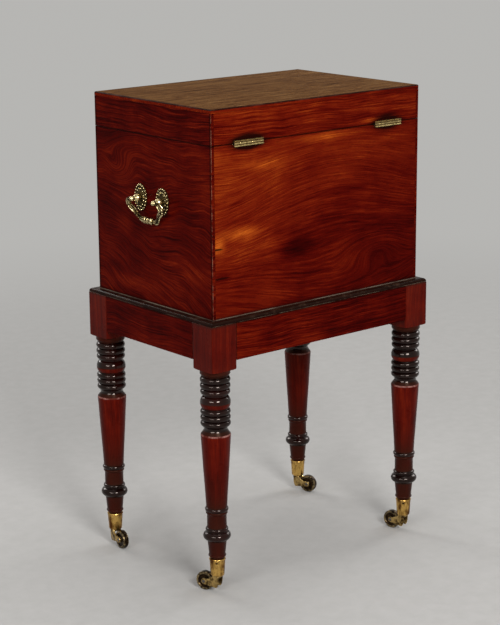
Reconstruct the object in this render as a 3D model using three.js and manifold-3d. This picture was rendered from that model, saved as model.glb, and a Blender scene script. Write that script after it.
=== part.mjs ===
// A cellarette: a lidded chest for bottles, on a stand with four turned legs and brass castors.
// Millimetres, +Z up, the floor at zero under the middle of the chest. The hinges are at the back, +Y.

import * as THREE from 'three';
import { mergeVertices } from 'three/addons/utils/BufferGeometryUtils.js';
import Module from 'manifold-3d';

const wasm = await Module();
wasm.setup();

// Driving sizes
const chestWidth = 424;
const chestDepth = 288;
const chestHeight = 266.8;
const lidHeight = 53.4;
const railHeight = 57.1;
const turnedLength = 302.2;
const castorHeight = 56.2;
const blockSide = 46.8;
const ledge = 12.9;

// Clearances
const gap = 0.3;
const overrun = 2;

// Boards of the chest and the lid
const wall = 12;
const cornerLap = 5;
const bottomThickness = 9;
const bottomRebate = 6;
const lidTopThickness = 6;
const lidTopArris = 2;
const lidJoint = 0.5;

// Bottle divisions
const cellsAcross = 3;
const dividerThickness = 7;
const dividerHeight = 118;
const baizeThickness = 1.2;

// Stand
const blockDrop = 14.4;
const railThickness = 22;
const tenonLength = 20;
const tenonThickness = 8;
const tenonShoulder = 6;
const pommelRadius = 5;
const pommelDip = 0.4;
const neckHeight = 6.2;
const legSides = 12;
const mouldingHeight = 6;
const mouldingInset = 0.6;
const mouldingRound = 4.6;
const mouldingQuirk = 0.8;

// Stop hinges
const hingeLength = 56;
const hingeFromEnd = 69.3;
const leafWidth = 11;
const leafThickness = 2;
const knuckleRadius = 3.2;
const knuckleCount = 5;
const barrelSides = 8;
const hingeProud = 0.8;
const hingePinRadius = 1.1;
const stopDrop = 4.4;
const stopRoot = 3.9;
const stopHalfAngle = THREE.MathUtils.degToRad(49);

// Lock
const lockWidth = 62;
const lockHeight = 40;
const lockDepth = 8.2;
const lockPlate = 2;
const lockWall = 1.4;
const lockEndWall = 2.5;
const selvedgeWidth = 78;
const lockScrewInset = 3.6;
const linkPlace = 13;
const linkPlateWidth = 48;
const linkThickness = 3;
const linkWidth = 4.6;
const linkDrop = 9.5;
const linkHoleHeight = 3.6;
const linkHoleWidth = 2.6;
const linkFoot = 1;
const linkSlack = 0.6;
const boltThrow = 6;
const boltFinger = 2.4;
const boltThickness = 1.8;
const boltRiser = 2;
const boltRailHeight = 3;
const keyDrop = 24;
const keyRadius = 2.6;
const keySlotWidth = 2.2;
const keySlotLength = 9;
const keyChamberWidth = 18;
const keyChamberDrop = 34;
const keyPinRadius = 1.2;

// Carrying handles
const handleDrop = 97.3;
const postSpacing = 54;
const pivotOut = 18;
const rosetteWidth = 30;
const rosetteHeight = 43;
const rosetteThickness = 2.2;
const rosetteDome = 2.4;
const rosetteLobes = 22;
const domeSides = 12;
const shankRadius = 2.6;
const bossRadius = 5.6;
const bossOut = 9.6;
const stemRadius = 3.7;
const ballRadius = 4.8;
const postSides = 8;
const nutSide = 9;
const nutThickness = 3.6;
const nutSeat = 5;
const bailSpan = 82;
const bailDrop = 36;
const bailPegRadius = 1.9;
const bailRingRadius = 5.4;
const bailSides = 6;

// Castors
const cupLength = 28.5;
const cupRimRadius = 12.3;
const cupFootRadius = 10.8;
const cupFootRound = 1.4;
const cupBead = 0.6;
const cupBeadHeight = 1.8;
const cupWall = 1.5;
const cupFloor = 4;
const castorSides = 12;
const stemPinRadius = 2.4;
const stemHeadRadius = 4.8;
const stemHeadHeight = 2.4;
const castorTrail = 21.5;
const wheelRadius = 15;
const wheelWidth = 9.5;
const wheelCrown = 0.9;
const wheelBoreRadius = 2.2;
const wheelSides = 24;
const hornWidth = 14.4;
const hornSlot = 10.6;
const hornFront = 5.4;
const hornToeHeight = 7.8;
const hornPlate = 3.4;
const hornBossRadius = 4.5;
const axleRadius = 1.8;
const axleHeadRadius = 2.8;
const axleHeadHeight = 0.7;
const cupScrewDrop = 5.5;

// Screws
const screwHeadRadius = 2;
const screwShankRadius = 1;
const screwHeadHeight = 1.4;
const screwLength = 8;
const screwSides = 6;

// How finely the curves are cut
const beadSteps = 3;
const boldBeadSteps = 5;
const roundSteps = 4;
const arrisSteps = 3;
const hornSegments = 4;
const keyholeSegments = 6;

// Sizes that follow from the driving ones
const halfWidth = chestWidth / 2;
const halfDepth = chestDepth / 2;
const standHalfWidth = halfWidth + ledge;
const standHalfDepth = halfDepth + ledge;
const halfBlock = blockSide / 2;
const legX = standHalfWidth - halfBlock;
const legY = standHalfDepth - halfBlock;
const blockBottom = castorHeight + gap + turnedLength;
const railBottom = blockBottom + blockDrop;
const railTop = railBottom + railHeight;
const chestBase = railTop + gap;
const lidBase = chestBase + chestHeight + lidJoint;
const floorTop = bottomThickness + gap + baizeThickness;
const innerHalfWidth = halfWidth - wall;
const innerHalfDepth = halfDepth - wall;
const hingeY = halfDepth + hingeProud;
const quarterTurn = Math.PI / 2;

// Finishes
const finish = (color, roughness, metalness) => new THREE.MeshStandardMaterial({ color, roughness, metalness });
const caseMahogany = finish(0x5a1d0e, 0.3, 0);
const lidMahogany = finish(0x5f3320, 0.38, 0);
const standMahogany = finish(0x4c170d, 0.3, 0);
const darkMoulding = finish(0x241410, 0.4, 0);
const insideWood = finish(0x7c4a2a, 0.6, 0);
const polishedBrass = finish(0xb08d45, 0.32, 1);
const castorBrass = finish(0x8a6a35, 0.42, 1);
const darkSteel = finish(0x4a4642, 0.5, 1);
const greenBaize = finish(0x2c4a2e, 0.95, 0);

// A closed solid with shared corners and faces that look outwards
function tidy(geometry) {
  const bare = new THREE.BufferGeometry();
  bare.setAttribute('position', geometry.getAttribute('position').clone());
  if (geometry.index) bare.setIndex(geometry.index.clone());
  const welded = mergeVertices(bare);
  const at = welded.getAttribute('position');
  const corners = welded.index.array;
  const [a, b, c] = [new THREE.Vector3(), new THREE.Vector3(), new THREE.Vector3()];
  const kept = [];
  let volume = 0;
  for (let i = 0; i < corners.length; i += 3) {
    const [p, q, r] = corners.slice(i, i + 3);
    if (p === q || q === r || r === p) continue;
    const normal = b.fromBufferAttribute(at, q).cross(c.fromBufferAttribute(at, r));
    volume += a.fromBufferAttribute(at, p).dot(normal);
    kept.push([p, q, r]);
  }
  welded.setIndex(kept.flatMap(([p, q, r]) => (volume < 0 ? [p, r, q] : [p, q, r])));
  return welded;
}

function toManifold(geometry) {
  const closed = tidy(geometry);
  const vertProperties = Float32Array.from(closed.getAttribute('position').array);
  const triVerts = Uint32Array.from(closed.index.array);
  return new wasm.Manifold(new wasm.Mesh({ numProp: 3, vertProperties, triVerts }));
}

function fromManifold(manifold) {
  const mesh = manifold.getMesh();
  const geometry = new THREE.BufferGeometry();
  geometry.setAttribute('position', new THREE.BufferAttribute(mesh.vertProperties, 3));
  geometry.setIndex(new THREE.BufferAttribute(mesh.triVerts, 1));
  return geometry;
}

const cut = (base, ...tools) =>
  fromManifold(tools.reduce((left, tool) => left.subtract(toManifold(tool)), toManifold(base)));

const join = (base, ...others) =>
  fromManifold(others.reduce((whole, other) => whole.add(toManifold(other)), toManifold(base)));

const common = (one, other) => fromManifold(toManifold(one).intersect(toManifold(other)));

// A rectangular block between two places along each axis, in either order
function block(x, y, z) {
  const middle = [x, y, z].map(([from, to]) => (from + to) / 2);
  const size = [x, y, z].map(([from, to]) => Math.abs(to - from));
  return new THREE.BoxGeometry(...size).translate(...middle);
}

const either = (reach) => [-reach, reach];

// A solid of revolution about Z from [radius, height] points that start and end on the axis
function turned(points, sides) {
  const profile = points.map(([radius, height]) => new THREE.Vector2(radius, height));
  return new THREE.LatheGeometry(profile, sides).rotateX(quarterTurn);
}

const rod = (radius, from, to, sides) => turned([[0, from], [radius, from], [radius, to], [0, to]], sides);
const alongX = (geometry) => geometry.rotateY(quarterTurn);
const alongY = (geometry) => geometry.rotateX(-quarterTurn);

// An outline in the Y-Z plane, drawn out along X
function drawnAlongX(outline, from, to) {
  const shape = new THREE.Shape(outline.map(([y, z]) => new THREE.Vector2(y, z)));
  const bar = new THREE.ExtrudeGeometry(shape, { depth: to - from, bevelEnabled: false });
  return bar.applyMatrix4(new THREE.Matrix4().set(0, 0, 1, from, 1, 0, 0, 0, 0, 1, 0, 0, 0, 0, 0, 1));
}

// A slab whose sides follow rows of [inset, height], as an eased board does
function easedSlab(width, depth, rows) {
  const corners = [[1, 1], [-1, 1], [-1, -1], [1, -1]];
  const positions = rows.flatMap(([inset, height]) =>
    corners.flatMap(([x, y]) => [x * (width / 2 - inset), y * (depth / 2 - inset), height]));
  const faces = [[0, 2, 1], [0, 3, 2]];
  for (let row = 0; row < rows.length - 1; row += 1) {
    for (let side = 0; side < 4; side += 1) {
      const low = [row * 4 + side, row * 4 + ((side + 1) % 4)];
      faces.push([low[0], low[1], low[1] + 4], [low[0], low[1] + 4, low[0] + 4]);
    }
  }
  const top = (rows.length - 1) * 4;
  faces.push([top, top + 1, top + 2], [top, top + 2, top + 3]);
  const slab = new THREE.BufferGeometry();
  slab.setAttribute('position', new THREE.Float32BufferAttribute(positions, 3));
  slab.setIndex(faces.flat());
  return slab;
}

// Points of an arc, as [across, up], from one angle to another
function arc([across, up], radius, from, to, steps) {
  return Array.from({ length: steps + 1 }, (unused, i) => {
    const angle = from + ((to - from) * i) / steps;
    return [across + radius * Math.cos(angle), up + radius * Math.sin(angle)];
  });
}

// The countersunk hole in a brass plate for a screw driven down -Z, with its mouth at the origin
const screwHole = () => turned([
  [0, -screwLength],
  [screwShankRadius + gap, -screwLength],
  [screwShankRadius + gap, -screwHeadHeight - gap],
  [screwHeadRadius + gap, -gap],
  [screwHeadRadius + gap, overrun],
  [0, overrun],
], screwSides);

const part = new THREE.Group();
const stand = new THREE.Group();
const chest = new THREE.Group();
const lid = new THREE.Group();
part.add(stand, chest, lid);
chest.position.z = chestBase;
lid.position.z = lidBase;

function add(parent, name, geometry, material) {
  const closed = tidy(geometry);
  closed.computeVertexNormals();
  const mesh = new THREE.Mesh(closed, material);
  mesh.name = name;
  parent.add(mesh);
  return mesh;
}

// The legs' turning from the castor's rim up to the block, as shares of the turned length and of
// half the block: [height of the middle, height, radius at the edges, radius at the middle].
// Two beads in a row share the valley between them.
const turningShares = [
  [0.0158, 0.0113, 0.538, 0.59],
  [0.0897, 0, 0.628, 0.628],
  [0.123, 0.0457, 0.684, 0.919],
  [0.1582, 0.0197, 0.667, 0.752],
  [0.1740, 0, 0.645, 0.645],
  [0.2373, 0, 0.645, 0.645],
  [0.2471, 0.0127, 0.671, 0.718],
  [0.2654, 0.0211, 0.697, 0.774],
  [0.4687, 0, 0.842, 0.842],
  [0.6608, 0, 0.987, 0.987],
  [0.6836, 0, 0.795, 0.795],
  [0.6924, 0, 0.765, 0.765],
  [0.7030, 0, 0.81, 0.81],
  [0.7230, 0.0281, 0.897, 0.991],
  [0.7515, 0.0285, 0.905, 0.987],
  [0.7786, 0.0253, 0.896, 0.994],
  [0.8278, 0.0668, 0.88, 0.995],
  [0.8690, 0, 0.765, 0.765],
  [0.8865, 0.0299, 0.893, 0.979],
  [0.9177, 0.0316, 0.902, 0.994],
  [0.9497, 0.0323, 0.902, 0.994],
  [0.9690, 0, 0.893, 0.893],
];
const boldBeadShare = 0.04;
const neckShare = 0.991;
const shoulderShare = 0.84;
const stockShare = 1.04;

function stepsOfBead(tallShare) {
  if (tallShare === 0) return 0;
  return tallShare > boldBeadShare ? boldBeadSteps : beadSteps;
}

const cupTaper = (cupRimRadius - cupFootRadius) / cupLength;

function legProfile() {
  const base = castorHeight + gap;
  const tenonRadius = cupRimRadius - cupWall - gap;
  const tenonFoot = castorHeight - cupLength + cupFloor + gap + stemHeadHeight + gap;
  const profile = [
    [0, tenonFoot],
    [tenonRadius - cupTaper * (castorHeight - tenonFoot), tenonFoot],
    [tenonRadius, castorHeight],
    [tenonRadius, base],
  ];
  let lastTall = 0;
  for (const [at, tall, waist, crest] of turningShares) {
    const steps = stepsOfBead(tall);
    const first = tall > 0 && lastTall > 0 ? 1 : 0;
    lastTall = tall;
    for (let i = first; i <= steps; i += 1) {
      const angle = steps === 0 ? quarterTurn : (Math.PI * i) / steps;
      const height = base + turnedLength * (at - (tall / 2) * Math.cos(angle));
      profile.push([halfBlock * (waist + (crest - waist) * Math.sin(angle)), height]);
    }
  }
  const stockRadius = halfBlock * Math.SQRT2 * stockShare;
  const shoulder = halfBlock * Math.SQRT2 * shoulderShare;
  const pommelCentre = [stockRadius - pommelRadius, blockBottom + pommelDip + pommelRadius];
  profile.push([halfBlock * neckShare, blockBottom - neckHeight]);
  profile.push([halfBlock * neckShare, blockBottom]);
  profile.push([shoulder, blockBottom + pommelDip]);
  profile.push(...arc(pommelCentre, pommelRadius, -quarterTurn, 0, arrisSteps));
  profile.push([stockRadius, railTop]);
  profile.push([0, railTop]);
  return profile;
}

// The turns about a back leg's axis of its castor cup's two screws
const cupScrewTurns = [quarterTurn / 2, quarterTurn / 2 + Math.PI];
const cupScrewHeight = castorHeight - cupScrewDrop;
const cupScrewRadius = cupRimRadius - cupTaper * cupScrewDrop;

function cupScrewHoles() {
  return cupScrewTurns.map((turn) => screwHole()
    .rotateY(quarterTurn)
    .translate(cupScrewRadius, 0, cupScrewHeight)
    .rotateZ(turn));
}

// A leg is turned from square stock, so its square block runs into the round neck in a pommel.
// toX and toY say which way the two rails leave it.
function legSolid(toX, toY) {
  const stock = block(either(halfBlock), either(halfBlock), [0, railTop]);
  const mortiseZ = [railBottom + tenonShoulder - gap, railTop - tenonShoulder + gap];
  const depth = [toX, toY].map((way) => [way * (halfBlock - tenonLength - gap), way * (halfBlock + overrun)]);
  const middle = [toX, toY].map((way) => -way * (halfBlock - railThickness / 2));
  const thick = middle.map((at) => [at - tenonThickness / 2 - gap, at + tenonThickness / 2 + gap]);
  return cut(
    common(turned(legProfile(), legSides), stock),
    block(depth[0], thick[1], mortiseZ),
    block(thick[0], depth[1], mortiseZ),
  );
}

// A rail with its two tenons, lying along X with its outer face towards +Y
function railSolid(halfLength, outside) {
  const height = [railBottom, railTop];
  const inner = outside - railThickness;
  const middle = (outside + inner) / 2;
  const reach = halfLength + tenonLength;
  return join(
    block(either(halfLength - gap), [inner, outside], height),
    block(
      either(reach),
      [middle - tenonThickness / 2, middle + tenonThickness / 2],
      [railBottom + tenonShoulder, railTop - tenonShoulder],
    ),
  );
}

// The strips of moulding make one mitred frame on the rails, which keeps the chest in its place
function mouldingSolid() {
  const crown = [mouldingInset + mouldingRound, railTop + mouldingHeight - mouldingRound];
  const rows = [
    [mouldingInset + mouldingQuirk, railTop + gap],
    [mouldingInset, railTop + gap + mouldingQuirk],
    ...arc(crown, mouldingRound, Math.PI, quarterTurn, roundSteps),
  ];
  const chestRoom = block(either(halfWidth + gap), either(halfDepth + gap), [railTop, railTop + chestHeight]);
  return cut(easedSlab(2 * standHalfWidth, 2 * standHalfDepth, rows), chestRoom);
}

const sides = [
  { name: 'back', turn: 0, half: standHalfWidth, out: standHalfDepth },
  { name: 'left', turn: quarterTurn, half: standHalfDepth, out: standHalfWidth },
  { name: 'front', turn: Math.PI, half: standHalfWidth, out: standHalfDepth },
  { name: 'right', turn: -quarterTurn, half: standHalfDepth, out: standHalfWidth },
];

for (const side of sides) {
  const rail = add(stand, `rail_${side.name}`, railSolid(side.half - blockSide, side.out), standMahogany);
  rail.rotation.z = side.turn;
}
add(stand, 'moulding_frame', mouldingSolid(), darkMoulding);

// A castor's cup: a tapered brass socket for the leg's tenon, with its facets in line with the
// tenon's, bored for the horn's stem
function cupSolid() {
  const foot = castorHeight - cupLength;
  const bead = castorHeight - cupBeadHeight;
  const outer = [
    [cupFootRadius - cupFootRound, foot],
    [cupFootRadius, foot + cupFootRound],
    [cupRimRadius - cupTaper * cupBeadHeight, bead],
    [cupRimRadius + cupBead, bead + cupBead],
    [cupRimRadius + cupBead, castorHeight - cupBead],
    [cupRimRadius, castorHeight],
  ];
  const inner = [
    [cupRimRadius - cupWall, castorHeight],
    [cupFootRadius - cupWall + cupTaper * cupFloor, foot + cupFloor],
    [stemPinRadius + gap, foot + cupFloor],
    [stemPinRadius + gap, foot],
  ];
  return turned([...outer, ...inner, outer[0]], legSides);
}

// A castor's horn: a plate under the cup with two cheeks that sweep back to hold the axle
const rivetShare = 0.86;
const hornThroatShare = 0.42;

function hornSolid() {
  const top = castorHeight - cupLength - gap;
  const low = wheelRadius - hornBossRadius;
  const high = wheelRadius + hornBossRadius;
  const side = new THREE.Shape();
  side.moveTo(-hornFront, top);
  side.quadraticCurveTo(-hornFront, hornToeHeight, 0, hornToeHeight);
  side.lineTo(castorTrail, low);
  side.absarc(castorTrail, wheelRadius, hornBossRadius, -quarterTurn, quarterTurn, false);
  side.quadraticCurveTo(castorTrail * hornThroatShare, high, hornFront, top);
  side.closePath();
  const cutAs = { depth: hornWidth, bevelEnabled: false, curveSegments: hornSegments };
  const cheek = new THREE.ExtrudeGeometry(side, cutAs);
  cheek.rotateX(quarterTurn).translate(0, hornWidth / 2, 0);
  const wheelRoom = wheelRadius + wheelCrown;
  const betweenCheeks = block(
    [-hornFront - overrun, castorTrail],
    either(hornSlot / 2),
    [0, top - hornPlate],
  );
  const roundWheel = block(
    [castorTrail - wheelRoom, castorTrail + wheelRoom],
    either(hornSlot / 2),
    [0, castorHeight],
  );
  const headFoot = castorHeight - cupLength + cupFloor + gap;
  const stem = turned([
    [0, top - hornPlate / 2],
    [stemPinRadius, top - hornPlate / 2],
    [stemPinRadius, headFoot],
    [stemHeadRadius, headFoot],
    [stemHeadRadius * rivetShare, headFoot + stemHeadHeight - gap],
    [0, headFoot + stemHeadHeight - gap],
  ], castorSides);
  const axleHole = alongY(rod(axleRadius + gap, -hornWidth, hornWidth, castorSides))
    .translate(castorTrail, 0, wheelRadius);
  return cut(join(cut(cheek, betweenCheeks, roundWheel), stem), axleHole);
}

// The wheel's flats, not its corners, are a wheel radius from its axle, so it stands on the floor
function wheelSolid() {
  const tread = wheelRadius / Math.cos(Math.PI / wheelSides);
  const half = wheelWidth / 2;
  const crownHalf = half - 2 * wheelCrown;
  const profile = [
    [wheelBoreRadius, -half],
    [tread - wheelCrown, -half],
    [tread, -crownHalf],
    [tread, crownHalf],
    [tread - wheelCrown, half],
    [wheelBoreRadius, half],
    [wheelBoreRadius, -half],
  ];
  const flatDown = Math.PI / wheelSides;
  return alongY(turned(profile, wheelSides).rotateZ(flatDown));
}

function axleSolid() {
  const out = hornWidth / 2 + gap;
  return alongY(turned([
    [0, -out - axleHeadHeight],
    [axleHeadRadius * rivetShare, -out - axleHeadHeight],
    [axleHeadRadius, -out],
    [axleRadius, -out],
    [axleRadius, out],
    [axleHeadRadius, out],
    [axleHeadRadius * rivetShare, out + axleHeadHeight],
    [0, out + axleHeadHeight],
  ], castorSides / 2));
}

// Legs and castors, with the way each castor trails as the photograph shows it
const corners = [
  { name: 'front_left', x: -1, y: -1, trails: 110 },
  { name: 'front_right', x: 1, y: -1, trails: 83 },
  { name: 'back_left', x: -1, y: 1, trails: -78 },
  { name: 'back_right', x: 1, y: 1, trails: -70 },
];

for (const corner of corners) {
  const post = new THREE.Group();
  post.position.set(corner.x * legX, corner.y * legY, 0);
  stand.add(post);
  add(post, `leg_${corner.name}`, legSolid(-corner.x, -corner.y), standMahogany);

  const screwTurn = corner.y > 0 ? 0 : quarterTurn;
  const cup = cut(cupSolid(), ...cupScrewHoles().map((hole) => hole.rotateZ(screwTurn)));
  add(post, `castor_${corner.name}_cup`, cup, castorBrass);

  const swivel = new THREE.Group();
  swivel.rotation.z = THREE.MathUtils.degToRad(corner.trails);
  post.add(swivel);
  add(swivel, `castor_${corner.name}_horn`, hornSolid(), castorBrass);
  const axleGroup = new THREE.Group();
  axleGroup.position.set(castorTrail, 0, wheelRadius);
  swivel.add(axleGroup);
  add(axleGroup, `castor_${corner.name}_wheel`, wheelSolid(), castorBrass);
  add(axleGroup, `castor_${corner.name}_axle`, axleSolid(), darkSteel);
}

// Boards that run along X fit between the laps of the end boards
function longBoard(side, height) {
  return block(
    either(halfWidth - cornerLap - gap),
    [side * innerHalfDepth, side * halfDepth],
    [0, height],
  );
}

function endBoard(side, height) {
  const laps = [-1, 1].map((end) => block(
    [side * (innerHalfWidth - overrun), side * (halfWidth - cornerLap)],
    [end * (innerHalfDepth - gap), end * (halfDepth + overrun)],
    [-overrun, height + overrun],
  ));
  return cut(block([side * innerHalfWidth, side * halfWidth], either(halfDepth), [0, height]), ...laps);
}

// The chest's boards have a rebate all round for its bottom
const bottomHalfWidth = innerHalfWidth + bottomRebate;
const bottomHalfDepth = innerHalfDepth + bottomRebate;
const rebateTop = bottomThickness + gap;
const bottomRoom = () => block(either(bottomHalfWidth), either(bottomHalfDepth), [-overrun, rebateTop]);
add(chest, 'box_bottom', block(
  either(bottomHalfWidth - gap),
  either(bottomHalfDepth - gap),
  [0, bottomThickness],
), insideWood);
add(chest, 'baize_lining', block(
  either(innerHalfWidth - gap),
  either(innerHalfDepth - gap),
  [rebateTop, floorTop],
), greenBaize);

// Bottle divisions, halved over each other and dropped in
const dividerFoot = floorTop + gap;
const dividerTop = dividerFoot + dividerHeight;
const halving = dividerFoot + dividerHeight / 2;
const halfDivider = dividerThickness / 2;
const cellWidth = (2 * innerHalfWidth - (cellsAcross - 1) * dividerThickness) / cellsAcross;
const crossPlaces = Array.from(
  { length: cellsAcross - 1 },
  (unused, i) => (i + 1) * (cellWidth + dividerThickness) - halfDivider - innerHalfWidth,
);
const slots = crossPlaces.map((x) => block(
  [x - halfDivider - gap, x + halfDivider + gap],
  either(dividerThickness),
  [halving - gap / 2, dividerTop + overrun],
));
const longDivider = block(either(innerHalfWidth - gap), either(halfDivider), [dividerFoot, dividerTop]);
add(chest, 'divider_long', cut(longDivider, ...slots), insideWood);
crossPlaces.forEach((x, i) => {
  const crossDivider = cut(
    block(either(halfDivider), either(innerHalfDepth - gap), [dividerFoot, dividerTop]),
    block(either(dividerThickness), either(halfDivider + gap), [dividerFoot - overrun, halving + gap / 2]),
  );
  add(chest, `divider_cross_${i + 1}`, crossDivider, insideWood).position.x = x;
});

// Each stop hinge's leaf has a wedge behind its barrel. The two wedges meet when the lid is up.
const knuckleLength = hingeLength / knuckleCount;
const axisAbove = lidJoint / 2;
const leafRoot = -hingeProud - leafWidth;

function leafSolid(upper) {
  const up = upper ? 1 : -1;
  const run = 1 / Math.tan(stopHalfAngle);
  const section = [
    [leafRoot, up * axisAbove],
    [leafRoot, up * (axisAbove + leafThickness)],
    [-stopRoot, up * (axisAbove + leafThickness)],
    [-stopRoot, up * stopDrop],
    [stopDrop * run, up * stopDrop],
    [axisAbove * run, up * axisAbove],
  ];
  const half = hingeLength / 2;
  let leaf = drawnAlongX(section, -half, half);
  for (let i = 0; i < knuckleCount; i += 1) {
    const from = -half + i * knuckleLength;
    const own = (i % 2 === 1) === upper;
    const slack = own ? -gap / 2 : gap;
    const reach = [from - slack, from + knuckleLength + slack];
    if (own) leaf = join(leaf, alongX(rod(knuckleRadius, ...reach, barrelSides)));
    else leaf = cut(leaf, alongX(rod(knuckleRadius + gap, ...reach, barrelSides)));
  }
  const pinHole = alongX(rod(hingePinRadius + gap, -half - overrun, half + overrun, barrelSides));
  return cut(leaf, pinHole, ...leafScrewHoles(up));
}

// Each leaf has a screw near each end and one in the middle
const leafScrewInset = 8;

function leafScrewHoles(up) {
  return [...either(hingeLength / 2 - leafScrewInset), 0].map((x) => screwHole()
    .rotateX(up > 0 ? Math.PI : 0)
    .translate(x, (leafRoot - stopRoot) / 2, up * axisAbove));
}

// The room that a hinge's leaf and stop take out of the board's edge, above or below the joint
function leafRoom(upper) {
  const up = upper ? 1 : -1;
  const length = either(hingeLength / 2 + gap);
  return [
    block(length, [hingeY + leafRoot - gap, hingeY], [-up * overrun, up * (leafThickness + gap)]),
    block(length, [hingeY - stopRoot - gap, hingeY], [-up * overrun, up * (stopDrop - axisAbove + gap)]),
  ];
}

const hingePlaces = { right: halfWidth - hingeFromEnd, left: hingeFromEnd - halfWidth };

for (const [name, x] of Object.entries(hingePlaces)) {
  const at = [x, hingeY, chestHeight + axisAbove];
  add(chest, `hinge_${name}_lower_leaf`, leafSolid(false), polishedBrass).position.set(...at);
  add(lid, `hinge_${name}_upper_leaf`, leafSolid(true), polishedBrass).position.set(x, hingeY, -axisAbove);
  const pin = alongX(rod(hingePinRadius, -hingeLength / 2, hingeLength / 2, castorSides));
  add(chest, `hinge_${name}_pin`, pin, darkSteel).position.set(...at);
}

function atHinges(makeTools) {
  return Object.values(hingePlaces).flatMap((x) => makeTools().map((tool) => tool.translate(x, 0, 0)));
}

const boxBack = cut(
  longBoard(1, chestHeight),
  bottomRoom(),
  ...atHinges(() => leafRoom(false).map((room) => room.translate(0, 0, chestHeight))),
);
add(chest, 'box_back', boxBack, caseMahogany);

// The lock's case is let into the front board's inner face, its plate flush with the top edge
const lockInner = -innerHalfDepth;
const lockOuter = lockInner - lockDepth;
const lockMiddle = (lockInner + lockOuter) / 2;
const channelTop = chestHeight - lockPlate;
const linkBottom = chestHeight + lidJoint - linkDrop;
const holeMiddle = linkBottom + linkFoot + linkHoleHeight / 2;
const boltRailTop = linkBottom - linkSlack;
const channelBottom = boltRailTop - boltRailHeight - gap;
const linkPlaces = either(linkPlace);

function keyhole(from, to) {
  const slotHalf = keySlotWidth / 2;
  const shape = new THREE.Shape();
  const meet = Math.asin(slotHalf / keyRadius);
  shape.absarc(0, 0, keyRadius, -quarterTurn + meet, 3 * quarterTurn - meet, false);
  shape.lineTo(-slotHalf, -keySlotLength);
  shape.lineTo(slotHalf, -keySlotLength);
  shape.closePath();
  const cutAs = { depth: to - from, bevelEnabled: false, curveSegments: keyholeSegments };
  const bore = new THREE.ExtrudeGeometry(shape, cutAs);
  return bore.rotateX(quarterTurn).translate(0, to, chestHeight - keyDrop);
}

const lockScrewPlaces = either(selvedgeWidth / 2 - lockScrewInset);
const lockScrewRoom = () => lockScrewPlaces.map((x) => screwHole().translate(x, lockMiddle, chestHeight));

function lockCase() {
  const shell = join(
    block(either(lockWidth / 2), [lockOuter, lockInner], [chestHeight - lockHeight, chestHeight]),
    block(either(selvedgeWidth / 2), [lockOuter, lockInner], [chestHeight - lockPlate, chestHeight]),
  );
  const inside = [lockOuter + lockWall, lockInner - lockWall];
  const channel = block(either(lockWidth / 2 - lockEndWall), inside, [channelBottom, channelTop]);
  const chamberFoot = chestHeight - keyChamberDrop;
  const chamber = block(either(keyChamberWidth / 2), inside, [chamberFoot, channelBottom + gap]);
  const linkSlots = linkPlaces.map((x) => block(
    [x - linkThickness / 2 - linkSlack, x + linkThickness / 2 + linkSlack],
    [lockMiddle - linkWidth / 2 - linkSlack, lockMiddle + linkWidth / 2 + linkSlack],
    [channelTop - overrun, chestHeight + overrun],
  ));
  const keyPin = alongY(rod(keyPinRadius, lockOuter + lockWall, lockInner, castorSides / 2))
    .translate(0, 0, chestHeight - keyDrop);
  const hollow = cut(shell, channel, chamber, ...linkSlots, ...lockScrewRoom());
  return join(cut(hollow, keyhole(lockOuter - overrun, lockMiddle)), keyPin);
}

// The bolt is a rail with a finger for each link. At rest the fingers stand clear of the links.
function lockBolt() {
  const thick = [lockMiddle - boltThickness / 2, lockMiddle + boltThickness / 2];
  const riserEnd = boltThrow + linkThickness / 2 + linkSlack;
  const fingers = linkPlaces.flatMap((x) => [
    block([x - riserEnd - boltRiser, x - riserEnd], thick, [boltRailTop - gap, holeMiddle + boltFinger / 2]),
    block(
      [x - riserEnd - boltRiser, x - linkThickness / 2 - linkSlack],
      thick,
      [holeMiddle - boltFinger / 2, holeMiddle + boltFinger / 2],
    ),
  ]);
  const railEnds = [-linkPlace - riserEnd - boltRiser, linkPlace - linkThickness / 2 - linkSlack];
  const notch = block(either(keySlotWidth), either(halfDepth), [channelBottom, channelBottom + gap + linkFoot]);
  return cut(join(block(railEnds, thick, [channelBottom + gap, boltRailTop]), ...fingers), notch);
}

// The link plate is let into the lid's front edge and its two links drop into the lock
function linkPlate() {
  const plate = block(either(linkPlateWidth / 2), [lockOuter, lockInner], [0, lockPlate]);
  const screwHoles = linkScrewPlaces.map((x) => screwHole().rotateX(Math.PI).translate(x, lockMiddle, 0));
  const links = linkPlaces.map((x) => cut(
    block(
      [x - linkThickness / 2, x + linkThickness / 2],
      [lockMiddle - linkWidth / 2, lockMiddle + linkWidth / 2],
      [-linkDrop, lockPlate / 2],
    ),
    block(
      [x - linkThickness, x + linkThickness],
      [lockMiddle - linkHoleWidth / 2, lockMiddle + linkHoleWidth / 2],
      [linkFoot - linkDrop, linkFoot - linkDrop + linkHoleHeight],
    ),
  ));
  return join(cut(plate, ...screwHoles), ...links);
}

const linkScrewPlaces = either(linkPlateWidth / 2 - lockScrewInset);
const pocketFloor = lockOuter - gap;
const boxFront = cut(
  longBoard(-1, chestHeight),
  bottomRoom(),
  block(
    either(lockWidth / 2 + gap),
    [pocketFloor, lockInner + overrun],
    [chestHeight - lockHeight - gap, chestHeight + overrun],
  ),
  block(
    either(selvedgeWidth / 2 + gap),
    [pocketFloor, lockInner + overrun],
    [chestHeight - lockPlate - gap, chestHeight + overrun],
  ),
  keyhole(-halfDepth - overrun, lockMiddle),
);
add(chest, 'box_front', boxFront, caseMahogany);
add(chest, 'lock_case', lockCase(), polishedBrass);
add(chest, 'lock_bolt', lockBolt(), darkSteel);

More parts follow.
